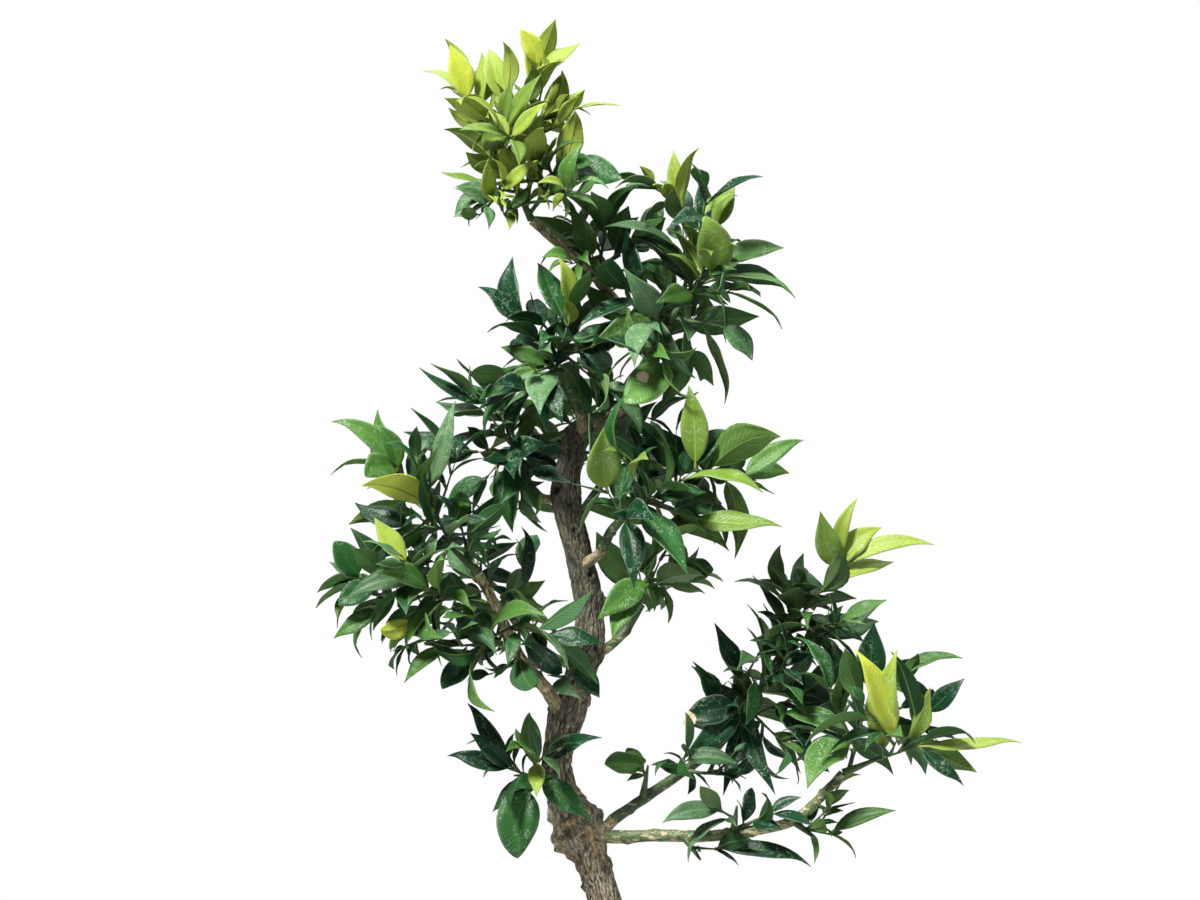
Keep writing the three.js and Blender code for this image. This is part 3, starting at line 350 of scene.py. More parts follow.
for kind, (light, dark, kind_share) in grain_kinds.items():
    mine = grain_places[(grain_draw >= kind_from) & (grain_draw < kind_from + kind_share)]
    kind_from += kind_share
    sizes = chance.uniform(*GRAIN_SIZES, (len(mine), 1, 1))
    knocks = chance.uniform(*GRAIN_KNOCKS, (len(mine), len(grain_corners), 1))
    spins = chance.uniform(0, 2 * math.pi, len(mine))
    blocks = grain_corners[None] * knocks * sizes * chance.uniform(*GRAIN_STRETCH, (len(mine), 1, 3))
    blocks[:, :, 2] *= GRAIN_FLATNESS
    turned = np.stack([blocks[..., 0] * np.cos(spins)[:, None] - blocks[..., 1] * np.sin(spins)[:, None],
                       blocks[..., 0] * np.sin(spins)[:, None] + blocks[..., 1] * np.cos(spins)[:, None],
                       blocks[..., 2]], axis=-1)
    lifted = turned + mine[:, None] + np.array([0, 0, GRAIN_LIFT]) * sizes
    grain_finish = Finish(kind, Roughness=0.92)
    grain_place = grain_finish.place()
    grain_tone = grain_finish.cloud(grain_place, 2.4, 2).between(0.38, 0.62)
    grain_colour = grain_finish.blend(grain_tone, light, dark)
    grain_finish.wear(grain_colour, None, grain_finish.cloud(grain_place, 0.4, 3), 0.15)
    grains = make_piece(kind, lifted.reshape(-1, 3), repeated(grain_faces, len(mine), len(grain_corners)),
                        [grain_finish.material], smooth=False)
    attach(grains, "root")

# The trunk leans left, sways back right and ends at an old pruning cut. Its mesh has shallow roots that run
# into the soil, flutes that wind up the wood, long bark fissures, and a burl with knots where old boughs were
# cut. The bark is grey-brown, ochre where it is young or rubbed, and dark in its fissures and knot holes:
# partly its own colour, partly painted shade in the hollows of the mesh.
TRUNK_FOOT = 73.3
TRUNK_TOP = 397
TRUNK_SUNK = 3  # how far the mesh goes on down under the soil's surface
TRUNK_RADIUS = (9.2, 6.2)
ROOT_SWELL = 11
ROOT_REACH = 9
TRUNK_PATH = [(16, 0, 58), (13, 1, 100), (8, 3, 132), (2, 4, 160), (-5, 4, 181), (-15, 2, 203),
              (-21, -2, 222), (-20, -4, 240), (-12, -4, 264), (-6, 0, 288), (-6, 4, 308), (-11, 4, 333),
              (-17, 2, 360), (-15, 0, 380), (-9, -1, TRUNK_TOP)]
TRUNK_SWELLS = [(195, 4.2, 10), (253, 1.6, 9), (286, 1.2, 9), (362, 1.4, 8)]  # height, swell and half height
TRUNK_SIDES = 144
TRUNK_RINGS = 430
CUT_RISE = 0.6  # at the middle of the pruning cut
BARK_WRAP = 8  # the radius on which the bark's pattern is laid out
ROOTS = 5
ROOT_TURN = 0.9
ROOT_RIDGE = 0.26  # how far the roots stand out, as a share of the trunk's radius at the soil
ROOT_RISE = 11
# Each set of flutes: its share of the radius, its number round the trunk, and how far it climbs as it winds.
FLUTES = [(0.05, 3, 24), (0.03, 5, -15)]
BURL_AT = 197
BURL_HALF = 12
BURL_STAND = 3.0
KNOT_REACH = 2.6  # times its radius
KNOT_EYE = 0.62
KNOT_LIP = (1.15, 0.42, 1.1)  # where it stands round the eye, how wide it is, and how high in millimetres
# Height, bearing round the trunk from the front towards the right, radius, and depth of the eye, which stands
# out where this is below zero.
KNOTS = [(198, -0.35, 3.8, 3.4), (190, 0.75, 2.6, 2.8), (208, 1.25, 4.2, 3.6), (191, -1.35, 5.0, -2.6),
         (204, 0.35, 2.6, 2.4), (199, 1.7, 3.4, -2.6), (185, 0.9, 3.0, -1.8), (208, -1.2, 3.4, -1.8),
         (193, 0.15, 1.9, 2.0), (178, -0.9, 2.2, -1.3), (176, 1.4, 1.8, -1.2), (168, -1.5, 1.4, -1.6),
         (255, -1.5, 2.4, 1.3), (286, 0.5, 2.0, 1.2), (309, 1.5, 2.7, -3.6), (232, 0.7, 1.7, 1.0),
         (284, 1.1, 3.4, -1.4), (345, 0.2, 1.8, 1.0), (366, -0.6, 2.4, 1.4), (150, 2.6, 2.6, 1.4),
         (128, -2.2, 2.2, 1.2), (262, 0.9, 1.8, -1.2), (322, 0.6, 2.0, 1.2), (268, -0.9, 2.2, -1.0)]
BARK_TAN = (0.53, 0.45, 0.33)
BARK_PALE = (0.8, 0.73, 0.57)
BARK_SHADE = (0.088, 0.098, 0.07)
BARK_OCHRE = (0.74, 0.57, 0.29)
BARK_FISSURE = (0.022, 0.019, 0.014)


def curve_at(path, along):
    """Points on the smooth curve through a path, at shares of its length from 0 to 1."""
    points = np.array(path, float)
    place = np.asarray(along, float) * (len(points) - 1)
    step = np.minimum(np.floor(place).astype(int), len(points) - 2)
    share = (place - step)[..., None]
    run = np.vstack([2 * points[0] - points[1], points, 2 * points[-1] - points[-2]])
    before, here, there, after = (run[step + k] for k in range(4))
    leaving = 0.5 * (there - before)
    arriving = 0.5 * (after - here)
    square = -3 * here + 3 * there - 2 * leaving - arriving
    cube = 2 * here - 2 * there + leaving + arriving
    return here + leaving * share + square * share ** 2 + cube * share ** 3


def direction_at(path, along):
    along = np.asarray(along, float)
    ahead = curve_at(path, np.minimum(along + 0.0001, 1)) - curve_at(path, np.maximum(along - 0.0001, 0))
    return ahead / np.linalg.norm(ahead, axis=-1, keepdims=True)


def trunk_radius(along):
    height = curve_at(TRUNK_PATH, along)[..., 2]
    rise = (height - TRUNK_FOOT) / (TRUNK_TOP - TRUNK_FOOT)
    radius = TRUNK_RADIUS[0] + (TRUNK_RADIUS[1] - TRUNK_RADIUS[0]) * rise
    radius = radius + ROOT_SWELL * np.exp(-np.maximum(height - TRUNK_FOOT, 0) / ROOT_REACH)
    for centre, swell, reach in TRUNK_SWELLS:
        radius = radius + swell * np.exp(-(((height - centre) / reach) ** 2))
    return radius


def frames_along(directions, bearing):
    """For each direction, two directions square to it and to each other; the first is nearest the bearing."""
    out = bearing - (bearing * directions).sum(-1, keepdims=True) * directions
    out = out / np.linalg.norm(out, axis=-1, keepdims=True)
    return out, np.cross(directions, out)


def fissures(x, y, z, width, height):
    """Thin upright lines, 1 in their middle, about width apart and height long."""
    warp = 0.35 * noise.noise(Vector((x / 6, y / 6, z / 9)))
    line = noise.noise(Vector((x / width + warp, y / width + warp, z / height)))
    return math.exp(-((line / 0.1) ** 2))


def bark_relief(x, y, z):
    """How far bark stands out, and how deep in a fissure it lies from 0 to 1."""
    wide = fissures(x, y, z, 2.4, 10)
    fine = fissures(x + 40, y, z, 1.3, 6)
    lumps = noise.noise(Vector((x / 7, y / 7, z / 13)))
    grain = noise.noise(Vector((x / 0.8, y / 0.8, z / 1.8)))
    hollow = min(0.9 * wide + 0.6 * fine, 1)
    return 0.8 * lumps + 0.25 * grain - 0.8 * wide - 0.4 * fine, hollow


trunk_along = np.linspace(0, 1, TRUNK_RINGS)
trunk_axis = curve_at(TRUNK_PATH, trunk_along)
in_sight = trunk_axis[:, 2] > TRUNK_FOOT - TRUNK_SUNK
trunk_along = trunk_along[in_sight]
trunk_axis = trunk_axis[in_sight]
trunk_out, trunk_side = frames_along(direction_at(TRUNK_PATH, trunk_along), np.array([0.0, -1.0, 0.0]))
trunk_widths = trunk_radius(trunk_along)
trunk_corners = []
trunk_hollows = []
for centre, out, side, width in zip(trunk_axis, trunk_out, trunk_side, trunk_widths):
    height = centre[2]
    rooty = math.exp(-max(height - TRUNK_FOOT, 0) / ROOT_RISE)
    burl = math.exp(-(((height - BURL_AT) / BURL_HALF) ** 2))
    for step in range(TRUNK_SIDES):
        turn = step * 2 * math.pi / TRUNK_SIDES
        x, y = BARK_WRAP * math.cos(turn), BARK_WRAP * math.sin(turn)
        stand, hollow = bark_relief(x, y, height)
        flute = sum(share * math.cos(count * turn + height / rise) for share, count, rise in FLUTES)
        root = ROOT_RIDGE * math.cos(ROOTS * turn + ROOT_TURN) * rooty
        stand += burl * (BURL_STAND * noise.noise(Vector((x / 4, y / 4, height / 4.5))) + 0.4)
        for knot_height, knot_turn, knot_radius, knot_depth in KNOTS:
            swing = (turn - knot_turn + math.pi) % (2 * math.pi) - math.pi
            away = math.hypot(height - knot_height, swing * width) / knot_radius
            if away < KNOT_REACH:
                eye = math.exp(-((away / KNOT_EYE) ** 2))
                lip_at, lip_width, lip_height = KNOT_LIP
                stand += lip_height * math.exp(-(((away - lip_at) / lip_width) ** 2)) - knot_depth * eye
                hollow = max(hollow, eye if knot_depth > 0 else 0.15)
        radius = width * (1 + flute + root) + stand * min(1, width / 7)
        trunk_corners.append(centre + radius * (math.cos(turn) * out + math.sin(turn) * side))
        trunk_hollows.append(hollow)
trunk_corners = np.array(trunk_corners)
trunk_corners[:, 2] = np.maximum(trunk_corners[:, 2], TRUNK_FOOT - TRUNK_SUNK)
foot_centre = trunk_axis[0] * [1, 1, 0] + [0, 0, TRUNK_FOOT - TRUNK_SUNK]
trunk_corners = np.vstack([trunk_corners, [foot_centre, trunk_axis[-1] + [0, 0, CUT_RISE]]])
trunk_hollows += [1, 0.3]
trunk_faces = closed_faces(len(trunk_axis), TRUNK_SIDES)


def bark_finish(name, tan, pale, shade, ochre_share, dimming, crack_share, plate_share):
    """Old bark, darker towards the crown by dimming. The shares say how strongly its parts show."""
    bark = Finish(name, Roughness=0.88)
    where = bark.place()
    height = bark.node("SeparateXYZ", None, where, output="Z")
    hollow = bark.mark("hollow")
    upright = bark.stretched(where, (1, 1, 0.24))
    patches = bark.cloud(bark.stretched(where, (1, 1, 0.4)), 6, 5).between(0.36, 0.62)
    strands = bark.cloud(upright, 1.15, 5, 0.7)
    cracks = 1 - abs(strands - 0.5).between(0.0, 0.05)
    rubbed = bark.cloud(bark.stretched(where, (1, 1, 0.6)), 6, 5).between(0.46, 0.6)
    low = 1 - height.between(226, 330) * dimming
    burl = 1 - abs(height - BURL_AT).between(8, 26) * 0.8
    plates = (bark.cloud(upright, 1.5, 5, 0.7) + burl * 0.05).between(0.49, 0.62)
    colour = bark.blend(patches * (0.52 - burl * 0.15), tan, shade)
    colour = bark.blend(plates * (plate_share + low * 0.28 + burl * 0.3), colour, pale)
    colour = bark.blend(rubbed * burl * ochre_share, colour, BARK_OCHRE)
    colour = bark.blend((1 - low) * 0.78, colour, shade)
    colour = bark.blend(cracks * (crack_share - burl * 0.2), colour, BARK_FISSURE)
    # Partly the bark's own dark colour, partly painted shade: fissures and knot holes darkened by how deep
    # they lie in the mesh.
    colour = bark.blend(hollow ** 1.3 * (0.92 - burl * 0.25), colour, BARK_FISSURE)
    relief = bark.cloud(upright, 0.6, 4) * 0.5 + plates * 0.6 - cracks * 0.9
    bark.wear(colour, 0.82 + hollow * 0.15, relief, 0.5)
    return bark.material


trunk_bark = bark_finish("trunk_bark", BARK_TAN, BARK_PALE, BARK_SHADE,
                         ochre_share=1.0, dimming=0.9, crack_share=0.78, plate_share=0.42)
trunk = make_piece("trunk_wood", trunk_corners, trunk_faces, [trunk_bark], marks={"hollow": trunk_hollows})
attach(trunk, "root")
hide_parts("trunk")

# The boughs taper from a collar in the wood that carries them to the foliage at their tip. Each is one closed
# mesh. Three are old enough for bark, brown or ochre. The others are still green, with pale flecks and tan
# streaks where they are rubbed, scars of fallen leaves, and old bark on their collar.
COLLAR_SHARE = 0.22  # of a bough's length
BOUGH_SIDES = 40
BOUGH_STEP = 0.9
LENGTH_STEPS = np.linspace(0, 1, 60)  # between which a bough's length is measured
BOUGH_GREEN = (0.06, 0.115, 0.038)
BOUGH_DARK = (0.026, 0.052, 0.024)
BOUGH_SUNNY = (0.15, 0.2, 0.075)
BOUGH_TAN = (0.68, 0.6, 0.37)
BOUGH_PALE = (0.22, 0.28, 0.12)
BOUGH_SCAR = (0.03, 0.028, 0.015)
SCAR_SPACING = 11
SCAR_HALF = 1.5  # half the length of the swelling under a scar
SCAR_TURN = 2.4  # from one to the next round the bough
SCAR_FROM = 0.75  # where on the swelling the scar begins
SCAR_STAND = 0.7
BOUGH_LUMPS = 0.3
BOUGH_RELIEF = 0.45  # of the trunk's
BOUGH_WRAP = 1.6  # the radius on which the bark's pattern is laid out, as a share of the bough's
BARKY = (13, 20)  # how far from a bough's start its old bark gives way to green
# Of each bough: its radius at the collar, past the collar and at the tip, and the path of its middle.
boughs = {
    "bough_low_right": ((6.5, 3.1, 2.2), [(-9, 0, 196), (6, -3, 192), (30, -8, 193), (52, -13, 193),
                                          (74, -17, 196), (95, -20, 201), (108, -22, 212), (120, -24, 225)]),
    "bough_high_right": ((4.2, 2.9, 2.1), [(1, -1, 194), (8, 1, 201), (25, 10, 212), (44, 20, 224),
                                           (59, 28, 234)]),
    "bough_left": ((5.4, 3.4, 2.3), [(-16, -4, 248), (-26, -11, 265), (-39, -20, 281), (-47, -28, 298),
                                     (-53, -33, 311), (-60, -38, 325)]),
    "bough_right": ((4.6, 2.6, 1.9), [(-7, -1, 283), (2, -1, 285), (12, -1, 294), (21, -1, 308)]),
    "bough_centre_right": ((3.4, 2.6, 2.1), [(-10, 2, 326), (0, -7, 334), (5, -16, 344), (10, -22, 350)]),
    "bough_centre_left": ((3.6, 2.3, 1.8), [(-17, 2, 361), (-29, 7, 361), (-36, 11, 369), (-41, 14, 380)]),
    "bough_leader": ((4.6, 3.5, 2.8), [(-12, 0, 388), (3, 2, 399), (19, 5, 412), (26, 6, 430), (34, 4, 448)]),
    "bough_crown_left": ((3.6, 2.8, 2.2), [(-10, -1, 389), (-9, -7, 399), (-12, -10, 407), (-16, -11, 415)]),
    "bough_top": ((3.4, 2.9, 2.1), [(25, 6, 430), (18, 12, 446), (5, 13, 463), (-9, 11, 479), (-23, 8, 490),
                                    (-34, 5, 500)]),
    "bough_back": ((3.6, 2.6, 2.0), [(-14, 3, 348), (-10, 20, 352), (-3, 38, 362), (4, 52, 374)]),
    "bough_back_low": ((3.8, 2.5, 1.9), [(-8, -1, 276), (-18, 16, 278), (-32, 32, 286), (-44, 44, 298)]),
}


def bough_radius(radii, along):
    collar, wood, tip = radii
    along = np.asarray(along, float)
    rise = 1 - along / COLLAR_SHARE
    tapered = wood + (tip - wood) * (along - COLLAR_SHARE) / (1 - COLLAR_SHARE)
    return np.where(along < COLLAR_SHARE, wood + (collar - wood) * rise * rise, tapered)


def bearing_for(directions):
    """The world axis that the directions run along least."""
    return np.eye(3)[int(np.argmin(np.abs(directions).max(axis=0)))]


def green_finish(name, green, dark, rubbed_from, rubbed_share):
    """Young bark, which turns to old bark where the attribute barky is 1."""
    skin = Finish(name, Roughness=0.55)
    where = skin.place()
    hollow = skin.mark("hollow")
    barky = skin.mark("barky")
    tone = skin.cloud(where, 6, 4).between(0.35, 0.65)
    flecks = skin.cloud(where, 0.9, 3).between(0.6, 0.7)
    streaks = skin.cloud(skin.stretched(where, (0.3, 0.6, 1)), 2.2, 6, 0.7)
    streaks = streaks.between(rubbed_from, rubbed_from + 0.05)
    cracks = 1 - abs(skin.cloud(where, 1.3, 4, 0.7) - 0.5).between(0, 0.05)
    old = (barky + (skin.cloud(where, 2.2, 4) - 0.5) * 1.6).between(0.4, 0.6)
    colour = skin.blend(tone, dark, green)
    colour = skin.blend(flecks * 0.5, colour, BOUGH_PALE)
    colour = skin.blend(streaks * rubbed_share, colour, BOUGH_TAN)
    colour = skin.blend(streaks * cracks * 0.6, colour, dark)
    wood = skin.blend(tone * 0.6, BARK_TAN, BARK_OCHRE)
    wood = skin.blend(cracks * 0.8, wood, BARK_FISSURE)
    colour = skin.blend(old, colour, wood)
    colour = skin.blend(hollow * 0.85, colour, BOUGH_SCAR)
    relief = skin.cloud(where, 1.1, 4) + streaks - old * cracks * 1.5
    skin.wear(colour, 0.45 + streaks * 0.25 + old * 0.25, relief, 0.35)
    return skin.material


# All boughs but these are green.
# The sunny skin is the green bark in lighter colours: painted sunlight on the low right bough.
odd_skins = {"bough_leader": "brown", "bough_top": "ochre", "bough_left": "ochre", "bough_low_right": "sunny"}
bough_skins = {
    "brown": bark_finish("bough_brown", (0.4, 0.36, 0.19), (0.78, 0.7, 0.42), (0.16, 0.18, 0.08),
                         ochre_share=0.5, dimming=0.2, crack_share=0.7, plate_share=0.3),
    "ochre": bark_finish("bough_ochre", (0.72, 0.6, 0.32), (1.0, 0.9, 0.6), (0.42, 0.38, 0.2),
                         ochre_share=1.0, dimming=0.0, crack_share=0.4, plate_share=0.7),
    "sunny": green_finish("bough_sunny", BOUGH_SUNNY, BOUGH_GREEN, rubbed_from=0.5, rubbed_share=0.85),
    "green": green_finish("bough_green", BOUGH_GREEN, BOUGH_DARK, rubbed_from=0.56, rubbed_share=0.55),
}

for name, (radii, path) in boughs.items():
    length = np.linalg.norm(np.diff(curve_at(path, LENGTH_STEPS), axis=0), axis=1).sum()
    rings = int(length / BOUGH_STEP)
    along = np.linspace(0, 1, rings)
    axis = curve_at(path, along)
    out, side = frames_along(direction_at(path, along), bearing_for(direction_at(path, [0.0, 0.5, 1.0])))
    widths = bough_radius(radii, along)
    skin = odd_skins.get(name, "green")
    old = skin in ("brown", "ochre")
    corners = []
    hollows = []
    for centre, one, two, width, share in zip(axis, out, side, widths, along):
        place = share * length
        swell = math.exp(-(((place % SCAR_SPACING - SCAR_SPACING / 2) / SCAR_HALF) ** 2))
        scar_turn = math.floor(place / SCAR_SPACING) * SCAR_TURN
        for step in range(BOUGH_SIDES):
            turn = step * 2 * math.pi / BOUGH_SIDES
            x, y = width * math.cos(turn) * BOUGH_WRAP, width * math.sin(turn) * BOUGH_WRAP
            relief, hollow = bark_relief(x + len(name), y, place)
            lumps = noise.noise(Vector((x / 3, y / 3, place / 7 + len(name))))
            facing = max(math.cos(turn - scar_turn), 0) ** 3
            stand = BOUGH_LUMPS * lumps + SCAR_STAND * swell * facing
            if old:
                stand += BOUGH_RELIEF * relief
            else:
                hollow = int(facing * swell > SCAR_FROM)
            corners.append(centre + (width + stand) * (math.cos(turn) * one + math.sin(turn) * two))
            hollows.append(hollow)
    corners += [axis[0], axis[-1]]
    hollows += [0, 0]
    from_start = np.clip((BARKY[1] - along * length) / (BARKY[1] - BARKY[0]), 0, 1)
    barky = np.concatenate([np.repeat(from_start, BOUGH_SIDES), [1, 0]])
    bough = make_piece(name + "_wood", corners, closed_faces(rings, BOUGH_SIDES), [bough_skins[skin]],
                       marks={"hollow": hollows, "barky": barky})
    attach(bough, "root")
    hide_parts(name)

# The twigs are smooth green tubes, joined in one mesh. They grow by the part's seeded rule, written again
# here: each mass has a stem on a limb, main shoots to named tips and side shoots, and leaves that keep clear
# of each other and of the bark. The rule is then carried on to finer shoots in the same room.
CLEAR = 0.3  # from a bough's end to the stem that goes on from it
GOLDEN_ANGLE = math.radians(137.5)
UP = np.array([0.0, 0.0, 1.0])
STEM_RADIUS = 2.2
STEM_KNEE = 0.4  # how far out the point lies that a stem bends towards, as a share of its length
SHOOT_SHARE = 0.64  # a shoot's radius at its foot, against the radius there of the twig that it forks off
THINNEST_FOOT = 0.9
BUD = {"stem": 14, "shoot": 7, "side": 6, "fine": 5}  # how far each kind tapers past its end
TWIG_SIDES = {"stem": 5, "shoot": 3, "side": 3, "fine": 3}
BEND_FROM = 48  # the length from which a twig bends
FORK_STEPS = 10
FORK_STIFFNESS = 1.7  # how much a fork's length counts against its turn
KNEE_ALONG_PARENT = 0.35
KNEE_ALONG_RUN = 0.2
KNEE_SWAY = 0.12
SIDE_START = (0.3, 0.8)
SIDE_LENGTH = (18, 32)
SIDE_FORWARD = 0.55
SIDE_LIFT = (0.1, 0.6)
SIDE_RISE = 0.15
NODE_SPACING = 8.6
LEAFY = (0.24, 0.98)  # where a twig's first and last leaf stand
LEAF_SIZE = (0.82, 1.16)  # as a share of the mass's usual length
LAST_LEAVES_FROM = 0.8
LAST_LEAVES_SIZE = 0.88
SIDE_LEAF_SIZE = 0.9
LEAF_WIDTH = (0.4, 0.5)  # as a share of its length
TURN_PLAY = 0.2
SPREAD = (1.2, 0.42)  # how far the first and the last leaf turn out from their twig
SPREAD_POWER = 1.4
SPREAD_PLAY = 0.3
ROLL_PLAY = 1.2
CURL = (-0.02, 0.14)
FOLD = (0.05, 0.18)
YOUNG_RISE = 0.5
MATURE_RISE = -0.05
FACE_ALONG, FACE_UP, FACE_OUT = 0.7, 0.6, -0.25
TRIES = 6  # to find room for a leaf, each turned further aside and smaller
TURN_ASIDE = 0.5
SHRINK = 0.94
STANDOUT_LENGTH = 20
STANDOUT_STIFFNESS = 2.2
STANDOUT_FACE = (0, -0.8, 0.6)
STANDOUT_FOLD = 0.1
# The part's solid leaf, which others keep clear of: share of its length, and half width by its width.
LEAF_OUTLINE = ((0.38, 0.5), (0.68, 0.39))
LEAF_RIDGE = 0.36
LEAF_THICKNESS = 1.0
LEAF_STALK = 0.05
LIMB_MARGIN = 1
TWIG_MARGIN = 0.4
LIMB_STEPS = 60  # at how many places the bark is compared
OFF_BARK = (0.3, 0.5, 0.7, 0.9, 1)  # where along it a side shoot is kept off the bark
EDGE_STEPS = (0, 0.25, 0.5, 0.75)  # and where along its edges a leaf is
SPACE_POWER = 4  # of a mass's room, which is a rounded box
# What the scene grows beyond the part's rule.
FINE_SHOOTS = 0.75  # for each twig of a mass
LUSH_SHOOTS = 3.0  # and of a young mass
FINE_LENGTH = (9, 22)
FINE_LEAF_SIZE = (0.45, 0.75)
LUSH_LEAF_SIZE = (0.58, 0.9)
FINE_START = (0.15, 0.98)
FINE_SPACING = 5.4
FILL_LEAF_SIZE = (0.4, 0.72)  # of one more leaf at each node, where there is room
MOST_SHAPES = 6000  # twigs and leaves that can be kept clear of each other
FILL_TURN = math.pi * 0.62  # from the rule's leaf at a node to the fill leaf there
FINE_SEED = 1000  # added to a mass's seed
FINE_ROOM = 0.88  # of the half sizes of a mass's room
# Where sky shows through or between the masses, seen from the front: x, z, half width and half height.
# Leaves, other than those that stand out, keep out of it.
sky_gaps = [(32, 401, 12, 13), (-26, 318, 12, 13), (-66, 369, 12, 13), (-56, 262, 48, 11), (-122, 357, 13, 9),
            (94, 478, 10, 30), (84, 448, 12, 9), (64, 330, 12, 9), (152, 221, 22, 8), (182, 262, 12, 22),
            (140, 262, 11, 20), (-76, 484, 30, 10), (24, 262, 20, 30), (-47, 477, 9, 16), (-65, 584, 9, 9),
            (0, 549, 11, 14), (68, 500, 9, 12), (44, 305, 12, 8), (90, 338, 7, 12), (-38, 200, 10, 14)]
# Shoots that only the scene has, by mass: their tips.
further_tips = {
    "crown_top": [(-60, -8, 502), (-47, -12, 501), (-38, -12, 519), (-27, -12, 513), (-12, -16, 511)],
    "left_upper": [(-52, -30, 347)],
    "left_low": [(-46, -24, 319)],
    "centre_left": [(-42, 0, 353)],
    "right_upper": [(92, 8, 238), (106, 2, 245), (98, 10, 227), (80, 14, 226)],
    "spur_knot": [(117, -16, 213)],
    "spur_fork": [(60, 8, 222), (67, 4, 233)],
}
